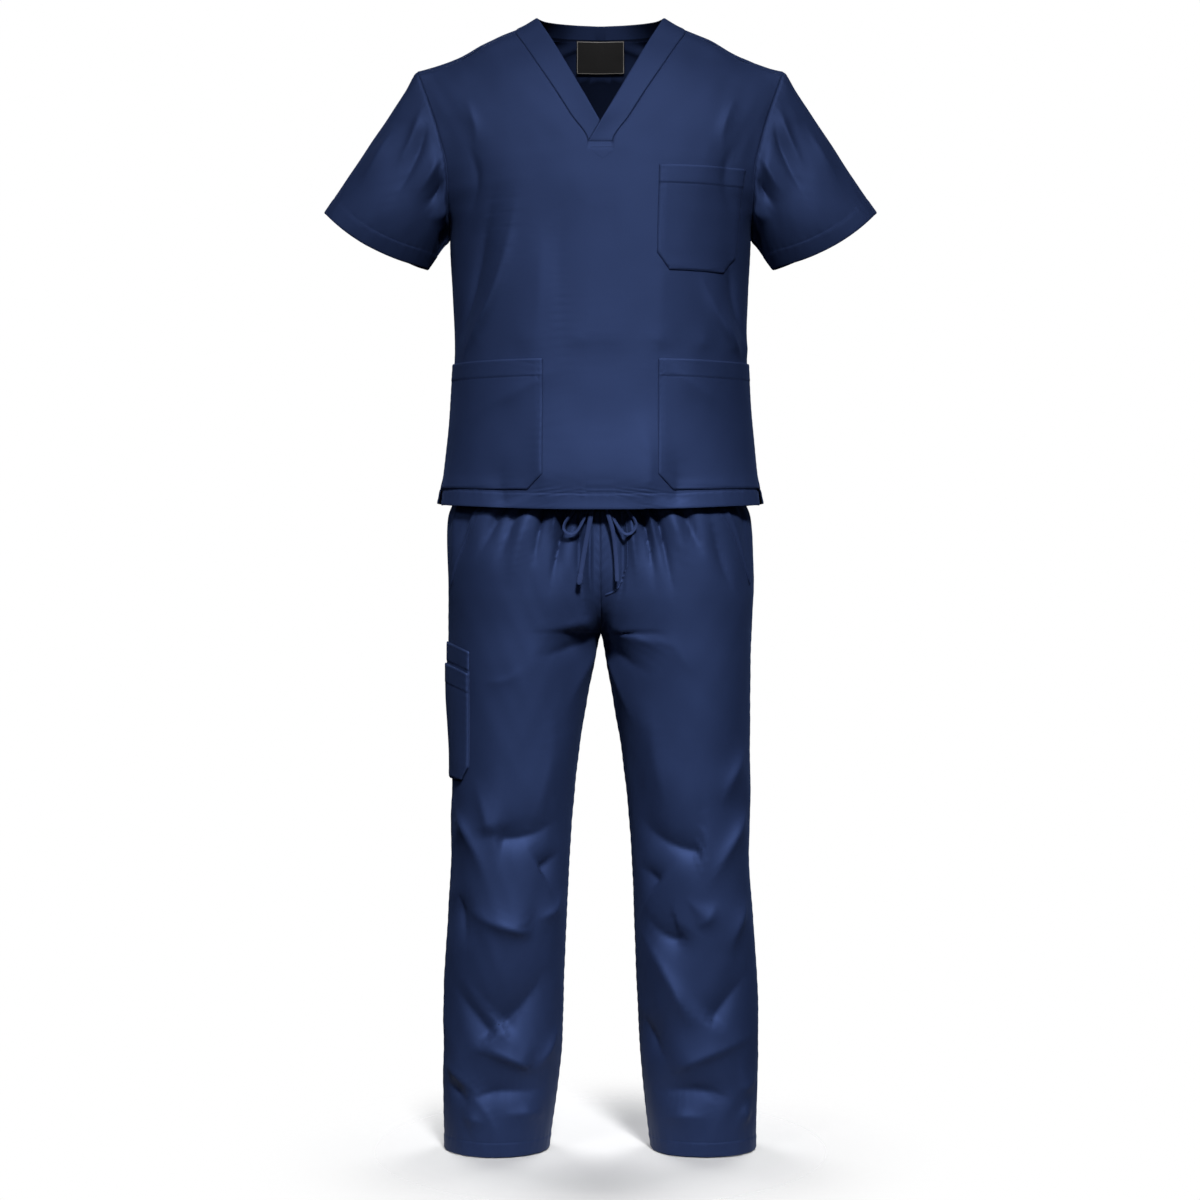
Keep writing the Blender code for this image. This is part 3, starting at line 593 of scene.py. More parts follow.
def tape_mesh(name, points, facing, width, twist, swell):
    """A flat tape along points: its broad side turns to facing, plus twist degrees at each point."""
    ahead = np.gradient(points, axis=0)
    ahead /= np.linalg.norm(ahead, axis=1, keepdims=True)
    side = np.cross(ahead, facing)
    side /= np.linalg.norm(side, axis=1, keepdims=True)
    out = np.cross(side, ahead)
    turn = np.radians(twist)[:, None]
    wide, deep = side * np.cos(turn) + out * np.sin(turn), out * np.cos(turn) - side * np.sin(turn)
    angle = np.linspace(0, 2 * np.pi, TAPE_SIDES, endpoint=False)
    across = np.sign(np.cos(angle)) * np.abs(np.cos(angle)) ** 0.7
    down = np.sin(angle) - 0.22 * np.cos(2 * angle) - 0.22
    rings = points[:, None, :]
    rings = rings + wide[:, None, :] * (across[None, :, None] * swell[:, None, None] * width / 2)
    rings = rings + deep[:, None, :] * (down[None, :, None] * swell[:, None, None] * TAPE_THICK / 2)
    last = (len(points) - 1) * TAPE_SIDES
    caps = [list(range(TAPE_SIDES))[::-1], list(range(last, last + TAPE_SIDES))]
    faces = cell_corners(len(points), TAPE_SIDES, True).tolist() + caps
    u, v = np.broadcast_arrays(angle[None, :] * width / 4, lengths_along(points)[:, None])
    return smooth_mesh(name, rings, faces, np.stack([u, v], -1), sharp=60)


print("The tape is", TAPE_THICK / MM, "mm thick")

# %% [markdown]
# Navy twill
#
# The cloth is a poly-cotton twill: warp threads float over two weft threads at a time, which leaves
# fine slanting ribs. A picture of cloth would blur close up, so the weave is made of nodes: a band
# texture for the ribs, turned by 63 degrees on the UV map, which is in metres, and fine noise for
# the threads. Both feed a very low bump. Large soft noise varies the dye a little. Two attributes
# of the mesh go into the colour as well. One lightens the seam edges: partly real wear, where the
# cloth is rubbed, and partly a painted highlight, where a rolled edge would catch the light. The
# other darkens the inner face and dims its shine: painted shade inside the garment. Smooth dyed
# cotton shines blue rather than white, so the shine has a tint, and the fuzz of the cotton is the
# shader's sheen.

# %% Dye the cloth
RIB_PITCH = 0.9 * MM
BAND_PERIOD = 2 * np.pi / 20  # the distance between the bands of a band texture, unscaled
NAVY_DEEP = (0.0058, 0.0102, 0.0300, 1.0)
NAVY_LIGHT = (0.0078, 0.0134, 0.0380, 1.0)
# the colour of rubbed edges: real wear, and a painted highlight where a rolled edge catches light
NAVY_WORN_AND_LIT = (0.0120, 0.0200, 0.0540, 1.0)
TAPE_DYES = ((0.010, 0.016, 0.045, 1.0), (0.014, 0.022, 0.058, 1.0))
THREAD_DYES = ((0.007, 0.012, 0.036, 1.0), (0.010, 0.016, 0.046, 1.0))
LUSTRE = (0.24, 0.39, 1.0, 1.0)  # the colour of the shine on the cloth's right side
LUSTRE_INNER_SHADED = (0.06, 0.10, 0.26, 1.0)  # and on its inner face, dimmed as painted shade
INNER_SHADE_KEPT = (0.3, 0.3, 0.3, 1.0)  # how much of the outer face's colour the inner face keeps: painted shade


def ribs(tree, slant, pitch):
    """Slanting bands over the UV map, a pitch apart."""
    scale = BAND_PERIOD / pitch
    place = node(tree, "ShaderNodeUVMap", uv_map="cloth").outputs["UV"]
    turn = (0.0, 0.0, np.radians(slant))
    turned = node(tree, "ShaderNodeMapping", place, Rotation=turn, Scale=(scale, scale, scale))
    bands = node(tree, "ShaderNodeTexWave", turned.outputs["Vector"], Scale=1.0, Distortion=0.6, Detail=1.0)
    bands.inputs["Detail Scale"].default_value = 1.2
    return bands.outputs["Fac"]


def noise(tree, size, detail, rough=0.5):
    """Noise over the object, in metres."""
    place = node(tree, "ShaderNodeTexCoord").outputs["Object"]
    return node(tree, "ShaderNodeTexNoise", place, Scale=size, Detail=detail, Roughness=rough).outputs["Fac"]


def marked(tree, name):
    """The value of one of a mesh's attributes."""
    return node(tree, "ShaderNodeAttribute", attribute_name=name).outputs["Fac"]


def add_bump(tree, shader, height, strength, distance):
    """Let a height disturb the way that the surface faces."""
    bump = node(tree, "ShaderNodeBump", Strength=strength, Distance=distance, Height=height)
    tree.links.new(bump.outputs["Normal"], shader.inputs["Normal"])


def cloth_material(name, dyes, sheen, roughness, pitch, slant):
    """A woven cloth: uneven dye, slanting ribs, thread noise, edges lightened by wear and a painted
    highlight, an inner face with painted shade, and a soft sheen.
    """
    finish = {
        "Roughness": roughness,
        "Specular IOR Level": 0.6,
        "Sheen Weight": sheen,
        "Sheen Roughness": 0.45,
        "Sheen Tint": (0.32, 0.48, 1.0, 1.0),
    }
    made, tree, shader = new_material(name, finish)
    threads = noise(tree, 900.0, 2.0, 0.6)
    rib = ribs(tree, slant, pitch)
    base = mixed(tree, ranged(tree, noise(tree, 7.0, 3.0, 0.55), 0.3, 0.7), *dyes)
    # Seam edges are lightened: real wear, and a painted highlight on the rolled edge.
    base = mixed(tree, marked(tree, "wear"), base, NAVY_WORN_AND_LIT)
    base = mixed(tree, 0.16, base, ranged(tree, rib, 0.0, 1.0, 0.35, 1.0), "MULTIPLY")
    base = mixed(tree, 0.35, base, ranged(tree, threads, 0.25, 0.75, 0.55, 1.35), "MULTIPLY")
    # The inner face is painted darker, with a dimmer shine: painted shade inside the garment.
    wrong = marked(tree, "wrong_side")
    base = mixed(tree, wrong, base, mixed(tree, 1.0, base, INNER_SHADE_KEPT, "MULTIPLY"))
    tree.links.new(base, shader.inputs["Base Color"])
    tree.links.new(mixed(tree, wrong, LUSTRE, LUSTRE_INNER_SHADED), shader.inputs["Specular Tint"])
    relief = node(tree, "ShaderNodeMath", threads, 0.5, rib, operation="MULTIPLY_ADD").outputs[0]
    add_bump(tree, shader, relief, 0.22, 0.12 * MM)
    return made


navy_twill = cloth_material("navy_twill", (NAVY_DEEP, NAVY_LIGHT), 0.02, 0.66, RIB_PITCH, 63.0)
navy_tape = cloth_material("navy_tape", TAPE_DYES, 0.06, 0.85, 1.3 * MM, 35.0)
navy_thread = cloth_material("navy_thread", THREAD_DYES, 0.03, 0.6, 0.5 * MM, 45.0)
print("The twill's ribs lie", round(RIB_PITCH / MM, 2), "mm apart")

# %% [markdown]
# The bow
#
# The tape is tied in a bow at the middle of the waistband. The knot stays hidden behind the hem of
# the top, and two loops and two tails hang out below it. A loop of tape stands partly on edge, so
# that it looks narrower than a tail. One tail ends in a folded and stitched cap, and the other is
# cut square and bar-tacked. Each run is one sweep along its route, which the CAD model shares, and
# the knot is a pinched roll with two turns of tape round its waist.

# %% Tie the bow
KNOT = (0.0, -109.6, -695.0)
KNOT_SIZE = (22, 13, 17)
TAPE_AROUND = 10  # points round a turn of tape about the knot
# Each tape: its width in millimetres, its twist in degrees at the start, middle and end, its route
BOW = {
    "drawstring_loop_right": (5.6, (20, 48, 30), (
        (-12.6, -110, -697), (-19, -113, -709), (-26, -115, -722), (-34, -116, -736),
        (-43, -116, -750), (-51.5, -116, -762), (-52.5, -116, -771), (-46, -116, -777),
        (-36.5, -116, -775), (-29, -116, -765), (-22, -116, -749), (-15, -115, -728),
        (-11, -112.5, -712), (-9, -110.5, -701.6),
    )),
    "drawstring_loop_left": (5.6, (-20, -46, -34), (
        (12.6, -110, -697), (19, -113, -709), (26, -115, -723), (34, -116, -737),
        (43, -116, -749), (50, -116, -759), (50.5, -116, -768), (43, -116, -776.5),
        (34, -116, -776), (25, -116, -765), (18, -116, -751), (14, -115, -731),
        (11, -112.5, -713), (9, -110.5, -701.6),
    )),
    "drawstring_tail_right": (7.2, (10, -8, 4), (
        (-2.8, -110.5, -703.2), (-5, -114, -716), (-9, -117.5, -730), (-13, -118.5, -746),
        (-17, -118.5, -768), (-22, -118.5, -795), (-27, -118.5, -825), (-31, -118.5, -851),
    )),
    "drawstring_tail_left": (6.4, (-16, 10, -4), (
        (2.8, -110.5, -703.2), (4, -114, -716), (6.5, -118.5, -731), (10, -121, -746),
        (17, -121, -769), (21, -119, -794), (23, -118.5, -820), (24, -118.5, -846),
    )),
}
CAP_LENGTH = 15 * MM  # the folded end of the right tail
FRONT = (0.0, -1.0, 0.0)


def tape_swell(name, gone, length):
    """How much wider the tape is at each point of its route than its own width."""
    swell = np.ones_like(gone)
    to_end = length - gone
    if name == "drawstring_tail_right":
        swell += 0.16 * (1 - smoothstep(to_end, CAP_LENGTH - MM, CAP_LENGTH))
        swell -= 0.14 * bell(to_end - CAP_LENGTH, 1.2 * MM)
        swell *= 1 - 0.55 * (1 - smoothstep(to_end, 0, 3.2 * MM)) ** 2
    elif name == "drawstring_tail_left":
        swell -= 0.10 * bell(to_end, 1.0 * MM)
    return swell * (1 - 0.35 * bell(gone, 6 * MM))


def make_bow_tape(name):
    """One loop or one tail of the bow."""
    wide, turned, route = BOW[name]
    points, length = smooth_route(route, TAPE_STEP)
    gone = np.linspace(0, length, len(points))
    twist = np.interp(gone / length, (0, 0.5, 1), turned)
    mesh = tape_mesh("tape_" + name, points, FRONT, wide * MM, twist, tape_swell(name, gone, length))
    piece = add_piece("tape_" + name, mesh, navy_tape, "tape", name)
    print(name, "is", round(length / MM), "mm long")


def make_knot():
    """The knot: a roll pinched by two turns of tape."""
    columns, sides, steps = 33, 40, 48
    across = np.linspace(-1, 1, columns)[:, None]
    angle = np.linspace(0, 2 * np.pi, sides, endpoint=False)[None, :]
    body = np.sqrt(np.clip(1 - np.abs(across) ** 2.6, 0, 1)) * (1 - 0.2 * bell(across, 0.2))
    body = body * (1 + 0.05 * np.sin(3 * angle + 5 * across) + 0.04 * np.sin(7 * across + angle))
    wide, deep, tall = (size / 2 for size in KNOT_SIZE)
    roll = (across * wide, body * np.cos(angle) * deep, body * np.sin(angle) * tall)
    points = [np.stack(np.broadcast_arrays(*roll), -1).reshape(-1, 3)]
    laid = [np.stack(np.broadcast_arrays(across * 11, angle * 8), -1).reshape(-1, 2)]
    faces = cell_corners(columns, sides, True)[:, ::-1].tolist()
    turn = np.linspace(0, 2 * np.pi, steps, endpoint=False)[:, None]
    bulge = np.linspace(0, 2 * np.pi, TAPE_AROUND, endpoint=False)[None, :]
    for lean, place in ((0.5, -1.6), (-0.4, 1.5)):
        out = 0.98 + 0.13 * np.sin(bulge)
        ring = (
            place + lean * 2 * np.cos(turn) + 1.9 * np.cos(bulge),
            out * np.cos(turn) * deep * 0.9,
            out * np.sin(turn) * tall * 0.9,
        )
        cells = cell_corners(steps + 1, TAPE_AROUND, True) % (steps * TAPE_AROUND) + sum(map(len, points))
        faces += cells[:, ::-1].tolist()
        points.append(np.stack(np.broadcast_arrays(*ring), -1).reshape(-1, 3))
        laid.append(np.stack(np.broadcast_arrays(4 * bulge, 8 * turn), -1).reshape(-1, 2))
    points = np.concatenate(points) * MM + np.array(KNOT) * MM
    mesh = smooth_mesh("tape_drawstring_knot", points, faces, np.concatenate(laid) * MM)
    add_piece("tape_drawstring_knot", mesh, navy_tape, "tape", "drawstring_knot")


make_knot()
for name in BOW:
    make_bow_tape(name)

# %% [markdown]
# The form of the top
#
# The top is cut as one front and one back. Each is described by sections from the hem up: the inner
# edge runs up the middle and then along the neckline, the outer edge up the side seam and then
# round the armhole. These are the tables of the CAD model.

# %% The top's sections
TOP_COLUMNS = "inner_x inner_y inner_z outer_x outer_y outer_z round bow"
TOP_FRONT = table(
    TOP_COLUMNS,
    (18.5, -131, -742, 237, -20, -732, 90, 1),
    (18.5, -128, -650, 229, 0, -650, 90, 0),
    (18.5, -124, -560, 221.5, 0, -560, 90, 0),
    (18.5, -121, -483, 217.5, 0, -483, 90, 0),
    (18.5, -119, -415, 221.5, 0, -413, 90, 0),
    (18.5, -116, -345, 226, 0, -335, 90, 0),
    (18.5, -112, -290, 226, -36, -296, 74, 0),
    (18.5, -106, -240, 226, -52, -262, 64, 0),
    (18.5, -101, -205, 228, -56, -230, 58, 0),
    (43, -92, -165, 236, -52, -195, 54, 0),
    (67, -80, -125, 245, -43, -163, 50, 0),
    (92, -62, -85, 255, -33, -134, 46, 0),
    (113, -38, -50, 264, -21, -109, 40, 0),
    (128, -14, -24, 272, -10, -87, 30, 0),
    (116, 20, -11, 275, 0, -81, 34, 0),
)
TOP_BACK = table(
    TOP_COLUMNS,
    (6, 120, -735, 246, 14, -728, 90, 1),
    (6, 113, -650, 229, 0, -650, 90, 0),
    (6, 108, -560, 221.5, 0, -560, 90, 0),
    (6, 104, -483, 217.5, 0, -483, 90, 0),
    (6, 106, -415, 221.5, 0, -413, 90, 0),
    (6, 112, -345, 226, 0, -335, 90, 0),
    (6, 116, -280, 231, 42, -296, 72, 0),
    (6, 117, -215, 241, 62, -245, 62, 0),
    (6, 113, -140, 250, 64, -200, 56, 0),
    (6, 101, -70, 258, 55, -160, 50, 0),
    (6, 84, -17, 264, 40, -125, 45, 0),
    (52, 76, -17, 268, 26, -103, 42, 0),
    (92, 52, -17, 272, 12, -90, 38, 0),
    (116, 20, -11, 275, 0, -81, 34, 0),
    (128, -14, -24, 272, -10, -87, 30, 0),
    (113, -38, -50, 264, -21, -109, 40, 0),
)
ARMPIT = 5  # the section where both armholes start
SHOULDER_FRONT = 13  # the shoulder seams
SHOULDER_BACK = 14
V_POINT = 8  # the foot of the V
NAPE = 10  # the back's section at the neck seam

SECTION_BLEND = 0.9  # how far each section fades into the next, in levels


def section_line(rows, across, level):
    """A point on the sections' arcs: across is 0 at the inner edge, 1 at the outer."""
    read = {name: curve(values, level) for name, values in rows.items()}
    arc = np.radians(read["round"])
    out = np.sin(across * arc) / np.sin(arc)
    back = (1 - np.cos(across * arc)) / (1 - np.cos(arc))
    fall = out * (1 + read["bow"] * (out - 1))
    x = read["inner_x"] + (read["outer_x"] - read["inner_x"]) * out
    y = read["inner_y"] + (read["outer_y"] - read["inner_y"]) * back
    z = read["inner_z"] + (read["outer_z"] - read["inner_z"]) * fall
    return np.stack([x, y, z], -1) * MM


def torso(rows, across, level):
    """A point of the smooth body, with its sections blended everywhere but at the sewn edges."""
    across, level = np.broadcast_arrays(np.asarray(across, float), np.asarray(level, float))
    last = len(rows["bow"]) - 1
    inner_edge = (1 - smoothstep(across, 0.25, 0.6)) * smoothstep(level, V_POINT - 1.0, V_POINT - 0.2)
    ends = 1 - smoothstep(np.minimum(level, last - level), 0.0, SECTION_BLEND)
    keep = np.clip(np.maximum(np.maximum(across**6, inner_edge), ends), 0, 1)[..., None]
    drawn = section_line(rows, across, level)
    lower = section_line(rows, across, np.clip(level - SECTION_BLEND, 0, last))
    upper = section_line(rows, across, np.clip(level + SECTION_BLEND, 0, last))
    blended = 0.4 * drawn + 0.3 * (lower + upper)
    return blended + (drawn - blended) * keep


print("The chest is", round(2 * TOP_FRONT["outer_x"][5]), "mm wide under the arms")

# %% [markdown]
# The folds of the top
#
# The top hangs from the shoulders, so its folds are drags: from each armhole a soft ridge runs down
# and out to the hip pocket, with a hollow outside it. The hem's weight draws long upright waves.
# The hidden back gets the same kinds, from the shoulder blades down to the small of the back.

# %% Fold the top
TOP_FOLDS = table(
    FOLD_COLUMNS,
    (-37, 250, -40, 410, -72, 522, 17, 11.48, 0.62, 0.5),
    (-50, 245, -54, 400, -79, 505, 17, -9.45, 0.5, -0.45),
    (38, 385, 50, 460, 74, 522, 15, 9.45, 0.62, -0.5),
    (58, 340, 62, 430, 80, 500, 17, -8.1, 0.5, 0.45),
    (-60, 128, -58, 165, -64, 215, 14, 4, 0.5, 0.35),
    (60, 130, 57, 170, 64, 225, 14, 4, 0.5, -0.35),
    (-70, 200, -62, 262, -64, 330, 16, -4.5, 0.35, 0.35),
    (70, 200, 62, 262, 63, 330, 16, -4.5, 0.35, -0.35),
    (-22, 300, -20, 420, -27, 560, 30, 4.5, 0.5, 0.25),
    (-8, 250, -12, 400, -6, 600, 34, -4.2, 0.4, 0),
    (17, 300, 20, 430, 14, 590, 32, 3.5, 0.5, 0),
    (8, 590, 14, 660, 11, 742, 26, 6, 0.75, 0.35),
    (-16, 560, -19, 650, -15, 742, 28, 4.5, 0.7, -0.35),
    (24, 640, 26, 690, 24, 742, 18, -5.4, 0.8, 0),
    (-34, 650, -36, 700, -33, 742, 20, -4.2, 0.8, 0),
    (-5, 520, -30, 570, -62, 610, 24, 3, 0.5, 0.35),
    (14, 500, 34, 560, 64, 600, 24, 3, 0.5, 0.35),
    (150, 250, 140, 410, 110, 520, 22, 8.5, 0.5, 0.45),
    (162, 300, 156, 420, 130, 540, 20, -7.2, 0.5, -0.35),
    (-146, 270, -142, 420, -108, 530, 22, 8.5, 0.5, -0.45),
    (-160, 300, -154, 430, -128, 560, 20, -7.2, 0.5, 0.35),
    (122, 200, 116, 280, 108, 370, 16, 8.1, 0.4, 0.35),
    (-122, 200, -116, 285, -107, 360, 16, 8.1, 0.4, -0.35),
    (172, 400, 168, 560, 160, 720, 30, -8.4, 0.5, 0.35),
    (-160, 460, -166, 590, -172, 728, 28, 7, 0.6, 0.35),
    (148, 560, 146, 640, 150, 728, 24, 6, 0.8, 0.35),
    (-140, 560, -138, 650, -144, 728, 24, -7.2, 0.8, 0.35),
    (125, 470, 160, 500, -170, 485, 20, 5, 0.5, 0.45),
    (-125, 455, -150, 478, -175, 470, 18, -5.4, 0.5, 0.35),
)
TORSO_RADIUS = 175  # turns a fold's angle into a distance round the body


def top_height(turn, drop):
    """How far the top's cloth stands off its smooth form, in metres."""
    height = folds(TOP_FOLDS, turn, drop, TORSO_RADIUS)
    height = height + 0.9 * MM * unevenness(turn, drop, TORSO_RADIUS, 120, 420, 3)
    return height + 0.25 * MM * unevenness(turn, drop, TORSO_RADIUS, 38, 110, 4)


def top_folds(rows, side, across, level):
    """The height of the top's folds; side is -1 on the wearer's right and 1 on the left."""
    turn = side * across * 90
    if rows is TOP_BACK:
        turn = np.where(side < 0, -180, 180) - turn
    return top_height(turn, -torso(rows, across, level)[..., 2] / MM)


def top_cloth(rows, side, across, level, height):
    """Points of the top at a height over its smooth form."""
    facing = 1 if rows is TOP_FRONT else -1
    return raised(lambda a, b: torso(rows, a, b), across, level, height, facing, side)


def top_skin(rows, side, across, level, lift):
    """Points of the top's folded cloth, raised by lift."""
    return top_cloth(rows, side, across, level, top_folds(rows, side, across, level) + lift)


print("The top has", len(TOP_FOLDS["width"]), "folds")

# %% [markdown]
# Seams, hems and stitched lines in the cloth itself
#
# A seam shows as a narrow valley where both edges turn under. A stitched line pulls the cloth down
# by a fraction of a millimetre, and a hem is one layer thicker below its stitching. These are
# small heights added to the outer face, each worked out from how far a point lies from the line.

# %% Shape the sewn edges
SECOND_LAYER = 0.8 * MM  # what a hem adds to the cloth inwards
LEDGE = 0.45 * MM  # and outwards


def distances(points):
    """How far each point of a grid is from its first column and its first row, in millimetres."""
    across = np.linalg.norm(np.diff(points, axis=1), axis=-1).cumsum(axis=1)
    along = np.linalg.norm(np.diff(points, axis=0), axis=-1).cumsum(axis=0)
    return np.pad(across, ((0, 0), (1, 0))) / MM, np.pad(along, ((1, 0), (0, 0))) / MM


def turned_under(distance, depth=0.75, width=1.1):
    """The roll of an edge that is turned under, this far from it."""
    return -depth * MM * bell(distance, width)


def stitched(distance, depth=0.3, width=1.2):
    """The dent of a stitched line."""
    return turned_under(distance, depth, width)


def puckered(along, away, pitch=12.0, height=0.22, reach=6.0):
    """The faint ripples beside a seam that the thread draws up."""
    wave = np.sin(2 * np.pi * along / pitch + 1.7 * np.sin(along / 31.0))
    return height * MM * wave * np.exp(-np.abs(away) / reach)


def hem_ledge(distance, deep):
    """The ledge of a hem this deep, at a distance from its fold."""
    return LEDGE * (1 - smoothstep(distance, deep - 0.6, deep + 0.8))


def within_hem(distance, deep):
    """1 within a hem and 0 beyond it."""
    return 1 - smoothstep(distance, deep - 1, deep + 1)


def worn_and_lit_edge(distance, amount, width=1.6):
    """How worn the cloth is at a distance from an edge, with the painted highlight of its rolled edge."""
    return amount * bell(distance, width)


def add_panel(name, outer, inner, laid, *replaced, **extras):
    """Add a panel of navy twill; laid says where its points lay on the flat cloth, in millimetres."""
    mesh = panel_mesh(name, outer, inner, np.stack(laid, -1) * MM, **extras)
    print(name, "has", len(mesh.polygons), "faces and", round(strip_areas(outer), 3), "m2 of cloth")
    return add_piece(name, mesh, navy_twill, "cloth", *replaced)


print("A seam's valley is", round(float(-turned_under(0.0)) / MM, 2), "mm deep")

# %% [markdown]
# The top's front and back
#
# Both are one grid each, with its columns on the two halves and over the centre strip. The cells
# above the foot of the V, and those above the nape, aren't cloth. The front ends in a 22 mm hem,
# and its side seams stop 80 mm short of it in two vents, each with its own narrow hem. Inside the
# back of the neck a curved facing covers the seam, which is where the label goes.

# %% Make the front and the back
TOP_STEP = 4.2
TOP_STEP_BEHIND = 4.8
HALF_WIDTH = 290.0  # millimetres from the centre strip to the side seam, about
SIDE_SEAM = 0.9994  # how far across the panels reach, a hair short of the seam
SHOULDER_GAP = 0.004  # and how many levels short of the shoulder seam
HEM_DEPTH = 22.0
VENT_TOP = 650.0  # the drop at which the side seams stop
VENT_HEM = 11.0
FACING_FOOT = 71.0
FACING_STAND = 0.7 * MM
FACING_SHADE_SPARED = 0.65  # the facing turns its right side out and is spared this share of the inner face's painted shade; the rest stays, as it lies in the neck's shade


def top_levels(rows, last, step, sewn):
    """Levels of a front or back, a step apart along its middle."""
    fine = np.linspace(0, last, 900)
    gone = lengths_along(torso(rows, 0.55, fine)) / MM
    return np.interp(spaced(0, gone[-1], step, sewn), gone, fine)


def make_top_panel(name, rows, shoulder, neck_level):
    """The whole front or back of the top."""
    behind = rows is TOP_BACK
    step = TOP_STEP_BEHIND if behind else TOP_STEP
    level = top_levels(rows, shoulder - SHOULDER_GAP, step, (0.0, HEM_DEPTH))
    share = spaced(0, HALF_WIDTH, step, (0.0, HALF_WIDTH)) / HALF_WIDTH
    share[-1] = SIDE_SEAM
    strip = np.linspace(-1, 1, 10)
    side = np.concatenate([-np.ones(len(share)), strip[1:-1], np.ones(len(share))])
    across = np.concatenate([share[::-1], 0 * strip[1:-1], share])
    level[np.argmin(np.abs(level - neck_level))] = neck_level
    side, across, level = np.broadcast_arrays(side, across, level[:, None])
    height = top_folds(rows, side, across, level)
    flat = top_cloth(rows, side, across, level, height)
    u, v = distances(flat)
    other_side = u[:, -1:] - u
    from_side = np.minimum(u, other_side)
    drop = -flat[..., 2] / MM
    from_neck = np.where(level > neck_level - 0.3, across * HALF_WIDTH, 99.0)
    lift = turned_under(from_side, 0.8) + turned_under(v, 0.5) + turned_under(v[-1:] - v, 0.8)
    lift = lift + turned_under(from_neck, 0.8) + stitched(v - HEM_DEPTH, 0.35) + hem_ledge(v, HEM_DEPTH)
    lift = lift + puckered(u, v - HEM_DEPTH, 13.0, 0.28, 7.0) + puckered(v, from_side, 15.0, 0.2, 6.0)
    in_vent = smoothstep(drop, VENT_TOP - 6, VENT_TOP + 4)
    lift = lift + in_vent * stitched(from_side - VENT_HEM, 0.3, 1.6)
    double = 1 - smoothstep(v, HEM_DEPTH - 1, HEM_DEPTH + 1) * (1 - in_vent * (from_side < VENT_HEM))
    faced = behind * (1 - smoothstep(drop, FACING_FOOT - 0.8, FACING_FOOT + 0.8))
    depth = CLOTH + SECOND_LAYER * double + FACING_STAND * faced
    outer = top_cloth(rows, side, across, level, height + lift)
    inner = top_cloth(rows, side, across, level, height - depth)
    mark_line("top", outer, inner, v, HEM_DEPTH - 0.8)
    vent = slice(0, int(np.argmax(drop[:, 0] < VENT_TOP)))
    for from_seam in (u, other_side):
        mark_line("top", outer, inner, from_seam, VENT_HEM, rows=vent, across=True)
    strip_cells = (np.abs(side[:-1, :-1]) < 1) | (np.abs(side[:-1, 1:]) < 1)
    keep = ~(strip_cells & (level[:-1, :-1] > neck_level - 1e-6))
    # Seam, neck and hem edges are lightened: wear, and a painted highlight.
    wear = worn_and_lit_edge(np.minimum(from_side, from_neck), 0.55) + worn_and_lit_edge(v, 0.5)
    laid = (u - u[:, -1:] / 2, v)
    # The inner face gets painted shade, less of it on the facing.
    wrong = 1 - FACING_SHADE_SPARED * faced
    add_panel("cloth_" + name, outer, inner, laid, name, keep=keep, wear=wear, wrong=wrong)


make_top_panel("top_front", TOP_FRONT, SHOULDER_FRONT, V_POINT)
make_top_panel("top_back", TOP_BACK, SHOULDER_BACK, NAPE)

# %% [markdown]
# The sleeves
#
# A short sleeve is a tube, cut wide at the shoulder so that the arm can rise, and set into the
# armhole with a little more cloth than the hole has. That ease makes the small puff just past the
# seam. The tube runs from the armhole's loop to a tilted oval cuff, and its folds break towards the
# armpit. Its hem is 25 mm deep and stands a little proud.

# %% Set in the sleeves
CUFF_TOP = np.array([414.75, 0.0, -292.5]) * MM
CUFF_UNDER = np.array([258.75, 0.0, -378.0]) * MM
CUFF_DEPTH = 42 * MM
CUFF_DROOP_FRONT = 16 * MM
CUFF_DROOP_BACK = 4 * MM
SLEEVE_BULGE = 10 * MM
SLEEVE_RADIUS = 70
SLEEVE_HEM = 25.0
SLEEVE_COLUMNS = 150
SLEEVE_PUFF = 1.1 * MM  # how far the eased cloth stands up just past the seam
SEAM_SHARE = 0.12  # the folds grow over this share of the sleeve's length
SLEEVE_FOLDS = table(
    FOLD_COLUMNS,
    (58, 12, 78, 60, 86, 150, 14.95, -10.12, 0.4, 0.45),
    (40, 10, 58, 50, 66, 105, 11, 7.43, 0.4, -0.35),
    (100, 5, 104, 40, 100, 92, 10, 8.78, 0.35, 0.35),
    (122, 3, 124, 34, 112, 78, 10.35, -9.45, 0.3, 0.35),
    (150, 2, 146, 30, 128, 62, 8, 7.43, 0.3, 0.25),
    (168, 2, 170, 22, 150, 44, 8.05, -6.75, 0.3, 0),
    (20, 60, 34, 110, 40, 170, 18, 4.73, 0.5, 0.35),
    (302, 12, 284, 60, 276, 150, 16.1, -9.45, 0.4, 0.35),
    (322, 14, 310, 60, 300, 120, 13, 6.75, 0.4, 0.35),
    (248, 5, 250, 40, 262, 100, 11, 9.45, 0.35, 0.35),
    (226, 3, 232, 36, 246, 80, 11.5, -8.78, 0.3, 0.35),
    (204, 2, 212, 28, 232, 60, 8, 6.75, 0.3, 0.35),
)


def armhole_levels(turn):
    """The levels of the armhole's points on the front's sections, and on the back's."""
    front = SHOULDER_FRONT - (SHOULDER_FRONT - ARMPIT) * turn / 180
    return front, SHOULDER_BACK - (SHOULDER_BACK - ARMPIT) * (360 - turn) / 180


def armhole(turn):
    """The loop of seam points: 0 at the shoulder, 90 in front, 180 under the arm, 270 behind."""
    turn = np.asarray(turn, float) % 360
    front, back = armhole_levels(turn)
    return np.where((turn < 180)[..., None], torso(TOP_FRONT, 1.0, front), torso(TOP_BACK, 1.0, back))


